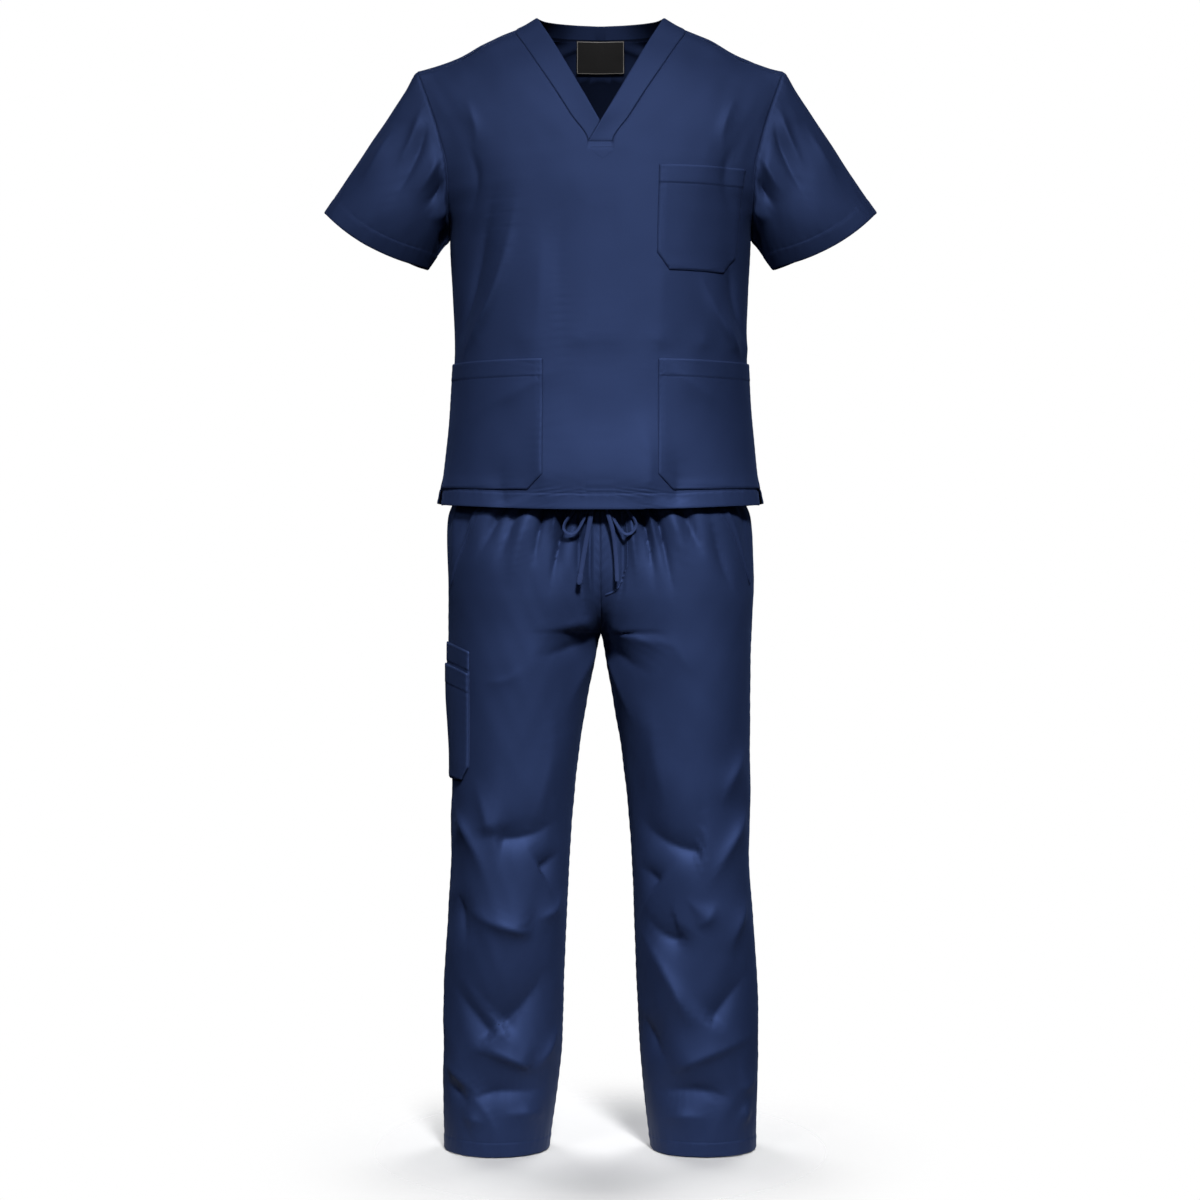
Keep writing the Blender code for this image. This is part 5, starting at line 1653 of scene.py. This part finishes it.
# %% Make the trousers
LEG_STEP = 3.6
LEG_STEP_BEHIND = 5.0
LEG_HEM = 21.0
LEG_HALF = 140.0  # millimetres from the middle of a panel to its seams, about
LEG_GAP = 0.0002  # how far short of its seams a panel ends, as a share of its width
INSEAM_ROWS = (5.0, 11.0)  # the felled inseam's two rows of stitching
GATHERS_TOP = 716.0
GATHERS_REACH = 1.4  # how many times longer the gathers are than the table has them
LEG_FOLD_DEPTH = 0.85
SEAM_STIFFNESS = 0.7  # a seam holds four layers of cloth, and takes up little of a fold
GATHERS_RIGHT = table(
    FOLD_COLUMNS,
    (22, 716, 27, 748, 40, 792, 6.3, -11.4, 0.45, 0.2),
    (10, 716, 14, 748, 21, 802, 5.4, -10.4, 0.45, 0.2),
    (3, 716, 6, 760, 12, 822, 8.1, 7.6, 0.5, 0),
    (-14, 716, -12, 752, -8, 800, 5.4, -8.5, 0.4, 0),
    (-45, 716, -40, 760, -26, 832, 8.1, -15.2, 0.45, 0.25),
    (-30, 716, -29, 740, -31, 772, 5.4, 7.6, 0.5, 0),
    (-64, 716, -64, 770, -67, 862, 6.3, -10.4, 0.5, 0),
    (-78, 716, -77, 780, -78, 850, 6.3, 5.7, 0.5, 0),
    (44, 716, 52, 752, 62, 800, 7.2, -7.6, 0.5, 0),
)
GATHERS_LEFT = table(
    FOLD_COLUMNS,
    (-36, 716, -32, 752, -22, 828, 8.1, -15.2, 0.45, 0.25),
    (-18, 716, -13, 760, -1, 846, 6.3, -10.4, 0.45, 0),
    (-25, 716, -24, 742, -20, 780, 6.3, 7.6, 0.5, 0),
    (2, 716, 4, 752, 8, 800, 7.2, 6.6, 0.5, 0),
    (11, 716, 14, 750, 23, 792, 6.3, -11.4, 0.45, 0.2),
    (28, 716, 34, 770, 47, 832, 7.2, -8.5, 0.6, 0.2),
    (-62, 716, -62, 770, -66, 866, 6.3, -9.5, 0.5, 0),
    (-50, 716, -49, 760, -46, 822, 6.3, 6.6, 0.5, 0),
)
# Each leg: its side, its folds, its gathers, and the number that its unevenness is drawn from
LEGS = {
    "left": (1, LEG_FOLDS_LEFT, GATHERS_LEFT, 50),
    "right": (-1, LEG_FOLDS_RIGHT, GATHERS_RIGHT, 60),
}


def gathers(drawn, turn, drop, seed):
    """The pleats below the waist seam, in metres: the front's listed, the others by chance."""
    draw = np.random.default_rng(seed)
    total = np.zeros(np.broadcast(turn, drop).shape)
    centre = 64.0
    while centre < 262:
        width = draw.uniform(3.2, 6.0)
        foot = draw.uniform(790, 900)
        height = draw.uniform(2.6, 5.5) * draw.choice([1, -1, -1])
        slant = draw.uniform(-0.05, 0.05)
        away = np.abs(turn - centre - slant * (drop - 712)) / width
        total += height * np.exp(-np.hypot(away, 0.3) + 0.3) * (1 - smoothstep(drop, foot - 110, foot))
        centre += draw.uniform(8.0, 15.0)
    fading = smoothstep(174 - np.abs(turn - 90), 0, 8) * smoothstep(drop, 712, 722)
    reached = GATHERS_TOP + (drop - GATHERS_TOP) / GATHERS_REACH
    return (total * MM + folds(drawn, turn, reached, LEG_RADIUS)) * fading


def leg_height(which, turn, drop):
    """How far the cloth of one leg stands off its smooth form, in metres."""
    _, folded, drawn, seed = LEGS[which]
    at_seam = np.clip(sum(bell(turn - seam, 15.0) for seam in (-90, 90, 270)), 0, 1)
    height = LEG_FOLD_DEPTH * folds(folded, turn, drop, LEG_RADIUS) * (1 - SEAM_STIFFNESS * at_seam)
    height = height + 1.3 * MM * unevenness(turn, drop, LEG_RADIUS, 85, 320, seed)
    height = height + 0.35 * MM * unevenness(turn, drop, LEG_RADIUS, 30, 80, seed + 1)
    height = height * np.clip((drop - SMOOTH_HIP) / HIP_FADE, 0, 1)
    return height + gathers(drawn, turn, drop, seed + 2)


def leg_cloth(side, turn, level, height):
    """Points of the trousers at a height over their smooth form."""
    return raised(leg, turn, level, height, 1, side)


def leg_skin(which, turn, level, *lifts):
    """Points of one folded leg, once for each lift."""
    height = leg_height(which, turn, curve(TROUSERS["drop"], level))
    return [leg_cloth(LEGS[which][0], turn, level, height + lift) for lift in lifts]


def leg_levels(step, sewn):
    """Levels from the hem to the waist seam, a step apart."""
    fine = np.linspace(0, WAIST_SEAM - 0.01, 900)
    drop = curve(TROUSERS["drop"], fine)
    height = drop[0] - drop
    return np.interp(spaced(0, height[-1], step, sewn), height, fine)


def make_leg_panel(which, start):
    """The front or the back of one leg."""
    in_front = start == "front"
    level = leg_levels(LEG_STEP if in_front else LEG_STEP_BEHIND, (0.0, LEG_HEM))[:, None]
    sewn = (0.0, 6.0, 12.0, 2 * LEG_HALF) if in_front else (0.0, 2 * LEG_HALF)
    places = spaced(0, 2 * LEG_HALF, LEG_STEP if in_front else LEG_STEP_BEHIND, sewn) / (2 * LEG_HALF)
    turn = -90 + 180 * (LEG_GAP + (1 - 2 * LEG_GAP) * places[None, :])
    turn, level = np.broadcast_arrays(turn if in_front else 180 - turn, level)
    u, v = distances(leg_skin(which, turn, level, 0.0)[0])
    from_outer = u[:, -1:] - u
    from_seam = np.minimum(u, from_outer)
    lift = turned_under(from_seam, 0.85, 1.1) + turned_under(v, 0.6) + turned_under(v[-1:] - v, 0.6)
    if in_front:
        lift = lift + 0.25 * MM * (1 - smoothstep(u, 6, 9))
        for row in INSEAM_ROWS:
            lift = lift + stitched(u - row, 0.35, 1.3) * (level < CROTCH - 0.2)
    lift = lift + stitched(v - LEG_HEM, 0.35) + hem_ledge(v, LEG_HEM)
    lift = lift + puckered(u, v - LEG_HEM, 12.0, 0.3, 8.0) + puckered(v, u, 17.0, 0.35, 7.0)
    lift = lift + puckered(v + 5, from_outer, 19.0, 0.3, 6.0)
    depth = CLOTH + SECOND_LAYER * within_hem(v, LEG_HEM)
    outer, inner = leg_skin(which, turn, level, lift, -depth)
    mark_line("trousers", outer, inner, v, LEG_HEM)
    if in_front:
        below = slice(0, int(np.argmax(level[:, 0] > CROTCH - 0.3)))
        for row in INSEAM_ROWS:
            mark_line("trousers", outer, inner, u, row, rows=below, across=True)
    name = f"trouser_{start}_{which}"
    # Seam and hem edges are lightened: wear, and a painted highlight.
    add_panel("cloth_" + name, outer, inner, (u, v), name, wear=worn_and_lit_edge(from_seam, 0.45) + worn_and_lit_edge(v, 0.5))


for which in LEGS:
    make_leg_panel(which, "front")
    make_leg_panel(which, "back")

# %% [markdown]
# The waistband
#
# The waistband is a folded band with elastic inside, which the top hides. It is one ring of close
# upright pleats between two rows of stitching. Only its sides show, from below and through the
# vents, but it carries the drawstring, and so it is made like the rest.

# %% Gather the waistband
WAIST_COLUMNS = 340
WAIST_ROW = 8.0  # how far its stitches run from its edges
WAIST_DEPTH = 1.6 * MM


def make_waistband():
    """The ring of the waistband, with its elastic's pleats."""
    half = np.linspace(-89.9, 269.9, WAIST_COLUMNS // 2)
    turn = np.concatenate([half, half[::-1]])
    side = np.repeat([1.0, -1.0], len(half))
    level = np.linspace(WAIST_SEAM + 0.01, WAIST_SEAM + 1, 22)[:, None]
    turn, side, level = np.broadcast_arrays(turn, side, level)
    shape = leg(turn, level)
    shape[..., 0] *= side
    u, v = distances(shape)
    tall = v.max()
    pleat = np.sin(2 * np.pi * u / 7.3 + 1.3 * np.sin(u / 17.0) + 0.6 * np.sin(v / 6.0))
    at_front = bell(shape[..., 0] / MM, 45) * (shape[..., 1] < 0)
    lift = 0.9 * MM * pleat * (1 - 0.8 * at_front) * (0.6 + 0.4 * np.sin(np.pi * v / tall))
    for row in (WAIST_ROW, tall - WAIST_ROW):
        lift = lift + stitched(v - row, 0.6, 1.8)
    lift = lift + turned_under(tall - v, 0.9, 1.5) + turned_under(v, 0.6)
    outer, inner = (leg_cloth(side, turn, level, height) for height in (lift, -WAIST_DEPTH))
    for row in (WAIST_ROW, tall - WAIST_ROW):
        mark_line("trousers", outer, inner, v, row)
    add_panel("cloth_waistband", outer, inner, (u, v), "waistband", ring=True)


make_waistband()

# %% [markdown]
# The cargo pocket
#
# On the wearer's right thigh a large pocket wraps the side seam, with a second, lower one laid on
# it, so that it has two mouths. Both have mitred lower corners, and a hem across each mouth that
# dips towards the front and the back. The second layer stands on the first, so each is lifted by
# what lies under it.

# %% Sew on the cargo pocket
CARGO_NEAR = 43  # degrees, its edge towards the front
CARGO_FAR = 137
CARGO_CHAMFER = 8  # degrees that the bottom corners lose
CARGO_BOTTOM = 1138
CARGO_CORNER = 1117
CARGO_MOUTH = 935
CARGO_OUTER_MOUTH = 967
CARGO_SLANT = 14  # how much lower the mouth is at its front and back ends
CARGO_HEM = 28.0
CARGO_EDGES = np.array([0.006, 0.012, 0.02, 0.03, 0.045])  # more lines beside its edges


def leg_level(drop, last):
    """The section level at a drop below the neck, up to the last level."""
    levels = np.linspace(0, last, 3000)
    return np.interp(-drop, -curve(TROUSERS["drop"], levels), levels)


def make_cargo_layer(name, mouth, stand):
    """One layer of the cargo pocket."""
    even = spaced(0, 2, 0.05, (), 0.05) - 1
    share = np.unique(np.concatenate([even, -1 + CARGO_EDGES, 1 - CARGO_EDGES]))[None, :]
    tall = CARGO_BOTTOM - mouth
    corner = CARGO_CORNER - mouth
    rows = spaced(0, tall, 4.0, (0.0, CARGO_HEM, tall)) / tall
    rows[np.argmin(np.abs(rows - corner / tall))] = corner / tall
    rows = rows[:, None]
    past = np.clip((rows * tall - corner) / (tall - corner), 0, 1)
    turn = (CARGO_NEAR + CARGO_FAR) / 2 + share * ((CARGO_FAR - CARGO_NEAR) / 2 - CARGO_CHAMFER * past)
    top = mouth + CARGO_SLANT * share**2
    level = leg_level(top + (CARGO_BOTTOM - top) * rows, CROTCH)
    u, v = distances(leg_skin("right", turn, level, 0.0)[0])
    other_side = u[:, -1:] - u
    from_edge = np.minimum(np.minimum(u, other_side), v[-1:] - v)
    lift = stand + 1.7 * MM * (1 - np.exp(-((from_edge / 1.4) ** 1.5))) + turned_under(v, 0.6)
    lift = lift + 0.9 * MM * smoothstep(from_edge, 6, 30) * np.sin(np.pi * np.clip(v / v.max(), 0, 1))
    lift = lift + pocket_seams(from_edge, u, v, CARGO_HEM, 0.25)
    outer, inner = leg_skin("right", turn, level, lift, np.minimum(stand * 0.85, lift - 0.3 * MM))
    mark_pocket("trousers", outer, inner, u, v, CARGO_HEM, (u, other_side))
    add_panel("cloth_" + name, outer, inner, (u, -v), name, wear=pocket_wear(from_edge, v))


make_cargo_layer("cargo_pocket", CARGO_MOUTH, 0.5 * MM)
make_cargo_layer("cargo_pocket_outer", CARGO_OUTER_MOUTH, 3.5 * MM)

# %% [markdown]
# The trousers' pocket openings and fly
#
# The slant pockets and the fly are sewn into the front panels, so little of them stands out: a
# folded edge along each pocket's mouth with two rows of stitching, and a J of stitching beside a
# mock fly. Each is a narrow strip of cloth laid on the panel along a line of three or more points.
# Its edges sink into the panel, and only the fold itself stands up.

# %% Open the slant pockets
SLANT_EDGE = ((38, 714), (46, 744), (66, 851))  # turn and drop of the mouth's folded edge
SLANT_STITCH = ((28, 714), (37, 746), (60, 829))
SLANT_ROWS = (0.14, 0.42)  # the two rows of stitching, as shares of the strip's width
FLY_LINE = ((-56, 714), (-57, 782), (-58.1, 822), (-60.8, 830.5), (-65.4, 852), (-72, 861), (-83, 866))
FLY_WIDTH = 4.4
FLY_ROWS = (0.2, 0.8)
SUNK = -0.3  # how deep the edges of a strip lie in the panel, in millimetres


def laid_line(points, count):
    """Evenly numbered turns and drops along a rounded line."""
    return through(np.array(points, float), np.linspace(0, len(points) - 1, count))


def laid_strip(name, which, first, second, lift, rows):
    """A strip of cloth on a leg between two lines of turns and drops, raised by lift."""
    share = np.linspace(0, 1, len(lift))[None, :]
    turn = first[:, :1] + (second[:, :1] - first[:, :1]) * share
    drop = first[:, 1:] + (second[:, 1:] - first[:, 1:]) * share
    level = leg_level(drop, WAIST_SEAM + 1)
    outer, inner = leg_skin(which, turn, level, lift * MM, np.minimum(lift - 0.35, -0.4) * MM)
    for row in rows:
        mark_line("trousers", outer, inner, np.broadcast_to(share, turn.shape), row, across=True)
    return add_panel("cloth_" + name, outer, inner, distances(outer))


def make_slant_pocket(which):
    """The folded mouth of a slant pocket, with its two rows of stitching."""
    place = np.linspace(0, 1, 25)
    lift = SUNK + 0.6 * smoothstep(place, 0.0, 0.08) + 2.6 * smoothstep(place, 0.45, 0.96)
    for row in SLANT_ROWS:
        lift = lift - 0.28 * bell(place - row, 0.05)
    lift[-1] = SUNK
    lines = laid_line(SLANT_STITCH, 60), laid_line(SLANT_EDGE, 60)
    return laid_strip("slant_pocket_" + which, which, *lines, lift, SLANT_ROWS)


def make_fly():
    """The J of double stitching beside the mock fly, on the wearer's left."""
    line = laid_line(FLY_LINE, 90)
    degree = np.radians(1) * LEG_RADIUS  # in millimetres round the leg
    ahead = np.gradient(line, axis=0) * np.array([1.0, 1.0 / degree])
    across = np.stack([ahead[:, 1], -ahead[:, 0]], -1)
    across /= np.linalg.norm(across, axis=1, keepdims=True)
    across *= FLY_WIDTH / 2 * np.array([1 / degree, 1.0])
    place = np.linspace(0, 1, 13)
    lift = SUNK + 1.25 * np.sin(np.pi * place) ** 0.5
    for row in FLY_ROWS:
        lift = lift - 0.35 * bell(place - row, 0.09)
    lift[0] = lift[-1] = SUNK
    return laid_strip("fly_stitching", "left", line - across, line + across, lift, FLY_ROWS)


trouser_details = [make_slant_pocket("left"), make_slant_pocket("right"), make_fly()]
print("The fly's J ends", FLY_LINE[-1][1] - 712, "mm below the waist seam")

# %% [markdown]
# Seam allowances
#
# Inside every seam about a centimetre of cloth is left over and pressed flat. It closes the seam,
# so no light comes through between two panels, and it shows inside the neck, the cuffs and the
# hems. Each allowance is a thin strip that starts behind one panel and ends behind the next. It
# lies just under the outer faces, where the panels' own inner faces hide the middle of it.

# %% Press the seam allowances
ALLOWANCE_FACES = (-0.95 * MM, -1.7 * MM)  # how deep under the smooth cloth its two faces lie
PANEL_EDGE = np.array([0.965, 0.98, 0.992, 0.9996])  # across the top, up to its outer edge
NECK_EDGE = np.array([0.03, 0.018, 0.008, 0.002])  # and down to its inner edge
SHOULDER_EDGE = 0.3  # how many levels below the shoulder seam its allowance starts
BAND_EDGE = np.array([0.02, 0.08, 0.16])
SLEEVE_EDGE = np.array([0.003, 0.02, 0.04, 0.06])
LEG_EDGE = np.array([6.0, 4.0, 2.0, 0.04])  # degrees from a leg's seam


def press(name, before, after, ring=False):
    """A strip over a seam. before and after give its points at a height, seam side last or first."""
    shells = [np.concatenate([before(height), after(height)], axis=0) for height in ALLOWANCE_FACES]
    return add_panel("cloth_allowance_" + name, *shells, distances(shells[0]), ring=ring)


def leg_edge(which, turns, levels):
    """A function for the points of one folded leg along its turns, at a height."""
    turn, level = np.meshgrid(turns, levels, indexing="ij")
    return lambda height: leg_skin(which, turn, level, height)[0]


def press_trousers():
    """The allowances of both inseams, both side seams and the seat's long seam."""
    made = []
    rise = np.linspace(CROTCH - 0.4, WAIST_SEAM, 70)
    for name, turns in (("front", -90 + LEG_EDGE), ("back", 270 - LEG_EDGE)):
        edges = leg_edge("right", turns, rise), leg_edge("left", turns[::-1], rise)
        made.append(press("centre_" + name, *edges))
    down = np.linspace(0.02, CROTCH + 0.1, 150)
    full = np.linspace(0.02, WAIST_SEAM, 220)
    for which in LEGS:
        for name, first, second, levels in (("inseam_", -90, 270, down), ("outseam_", 90, 90, full)):
            lean = LEG_EDGE if first < 0 else -LEG_EDGE
            before = leg_edge(which, first + lean, levels)
            after = leg_edge(which, (second - lean)[::-1], levels)
            made.append(press(name + which, before, after))
    return made


def top_edge(rows, side, acrosses, levels):
    """A function for the points of the folded top along its acrosses, at a height."""
    across, level = np.meshgrid(acrosses, levels, indexing="ij")
    return lambda height: top_skin(rows, side, across, level, height)


def press_side(named, side):
    """The allowance of a side seam, above its vent."""
    levels = np.linspace(1.0, ARMPIT, 80)
    front = top_edge(TOP_FRONT, side, PANEL_EDGE, levels)
    return press("side_" + named, front, top_edge(TOP_BACK, side, PANEL_EDGE[::-1], levels))


def press_shoulder(named, side):
    """The allowance of a shoulder seam."""
    acrosses = np.linspace(0.004, 0.997, 50)
    short = SHOULDER_EDGE * (1 - PANEL_EDGE) / (1 - PANEL_EDGE[0])
    front = top_edge(TOP_FRONT, side, acrosses, SHOULDER_FRONT - short)
    back = top_edge(TOP_BACK, side, acrosses, SHOULDER_BACK - short[::-1])
    turned = [lambda height, edge=edge: edge(height).transpose(1, 0, 2) for edge in (front, back)]
    return press("shoulder_" + named, *turned)


def press_armhole(named, side):
    """The ring of cloth inside an armhole."""
    turn = np.linspace(0, 360, SLEEVE_COLUMNS, endpoint=False)
    front, back = armhole_levels(turn)
    level = np.where(turn < 180, front, back)
    edges = [top_edge(rows, side, PANEL_EDGE, level) for rows in (TOP_FRONT, TOP_BACK)]
    turns, alongs = np.meshgrid(turn, SLEEVE_EDGE)

    def body(height):
        return np.where((turn < 180)[None, :, None], *(edge(height) for edge in edges))

    def set_in(height):
        return sleeve_cloth(side, turns, alongs, height)

    return press("armhole_" + named, body, set_in, ring=True)


def press_neck(named, side):
    """The cloth behind the neck seam, from the foot of the V round to the nape."""
    front = np.linspace(V_POINT, SHOULDER_FRONT - 0.02, 60)
    back = np.linspace(SHOULDER_BACK - 0.02, NAPE, 40)
    parts = (
        (BAND_LAPPED if side > 0 else BAND_UNDER, TOP_FRONT, V_POINT, front),
        (BAND_BACK, TOP_BACK, NAPE, back),
    )

    def carried_over(pieces):
        """The pieces in a row; on the left they go on to the other side of the nape."""
        joined = np.concatenate(pieces, axis=1)
        return np.concatenate([joined, joined[:, -1:] * (-1, 1, 1)], axis=1) if side > 0 else joined

    def body(height):
        edges = [top_edge(rows, side, NECK_EDGE, levels) for _, rows, _, levels in parts]
        return carried_over([edge(height) for edge in edges])

    def bound(height):
        pieces = []
        for shape, rows, first, levels in parts:
            across, level = np.meshgrid(BAND_EDGE, levels, indexing="ij")
            pieces.append(band_skin(shape, rows, first, side, across, level, height))
        return carried_over(pieces)

    return press("neck_" + named, body, bound)


trouser_allowances = press_trousers()
for named, side in (("left", 1), ("right", -1)):
    for press_seam in (press_side, press_shoulder, press_armhole, press_neck):
        press_seam(named, side)

# %% [markdown]
# Sew
#
# A machine sews the real suit seam by seam. Here all the marked lines are sewn last, as one mesh for
# each garment, because thousands of separate stitches would make the scene slow. The foot of the V
# gets a row of stitches across it and two more that run down to a point.

# %% Sew the stitches
V_HALF = 18.5  # half the width of the square foot of the V
V_STITCHES = (((-15, 213.5), (3, 213.5), (21, 213.5)), ((-17, 216), (3, 231), (23, 216)))  # x and drop


def mark_front(points):
    """Mark stitches on the front of the top along straight runs between points."""
    places = np.linspace(0, len(points) - 1, 41)
    x, drop = (np.interp(places, np.arange(len(points)), values) for values in zip(*points))
    across, level = place_on(TOP_FRONT, x, -drop)
    side = np.clip(x / V_HALF, -1, 1)
    line, under = (top_skin(TOP_FRONT, side, across, level, lift) for lift in (0.12 * MM, -CLOTH))
    stitch_lines["top"].append((line, line - under))


for points in V_STITCHES:
    mark_front(points)
top_thread = sew("thread_top", stitch_lines["top"])
trouser_thread = sew("thread_trousers", stitch_lines["trousers"])

# %% [markdown]
#
# Every cloth piece was cut flat and then sewn in, so each is listed with the width and length
# that it had before. Sleeves and the waistband are tubes, and their width is the way round. Hems
# that are turned inside and seam allowances are left out, since the sizes are those of what shows.
# Where the cut isn't a rectangle, its own area is given too.

# %% List each sheet of cloth
SHEETS = (
    # piece, width and length in metres, area in square metres, how it is held, what it lies on
    ("cloth_top_front", (0.600, 0.720), 0.360, "hung", ()),
    ("cloth_top_back", (0.610, 0.780), 0.400, "hung", ()),
    ("cloth_sleeve_left", (0.450, 0.240), 0.077, "hung", ("cloth_top_front", "cloth_top_back")),
    ("cloth_sleeve_right", (0.450, 0.240), 0.077, "hung", ("cloth_top_front", "cloth_top_back")),
    ("cloth_neckband_left", (0.257, 0.030), None, "laid", ("cloth_top_front",)),
    ("cloth_neckband_right", (0.233, 0.030), None, "laid", ("cloth_top_front",)),
    ("cloth_neckband_back", (0.356, 0.030), None, "laid", ("cloth_top_back",)),
    ("cloth_chest_pocket", (0.138, 0.167), 0.0225, "laid", ("cloth_top_front",)),
    ("cloth_hip_pocket_left", (0.204, 0.202), 0.0405, "laid", ("cloth_top_front",)),
    ("cloth_hip_pocket_right", (0.203, 0.202), 0.0405, "laid", ("cloth_top_front",)),
    ("label", (0.075, 0.048), None, "laid", ("cloth_top_back",)),
    ("cloth_trouser_front_left", (0.350, 0.990), 0.282, "gathered", ("cloth_waistband",)),
    ("cloth_trouser_front_right", (0.350, 0.990), 0.282, "gathered", ("cloth_waistband",)),
    ("cloth_trouser_back_left", (0.360, 0.990), 0.286, "gathered", ("cloth_waistband",)),
    ("cloth_trouser_back_right", (0.360, 0.990), 0.286, "gathered", ("cloth_waistband",)),
    ("cloth_waistband", (1.009, 0.040), None, "gathered", ()),
    ("cloth_cargo_pocket", (0.185, 0.203), 0.0372, "laid", ("cloth_trouser_front_right",)),
    ("cloth_cargo_pocket_outer", (0.180, 0.171), 0.0304, "laid", ("cloth_cargo_pocket",)),
)
shown_cloth = 0.0
for name, flat, area, held, under in SHEETS:
    shown_cloth += flat[0] * flat[1] if area is None else area
print(len(SHEETS), "sheets of cloth show", round(shown_cloth, 2), "m2 in all")
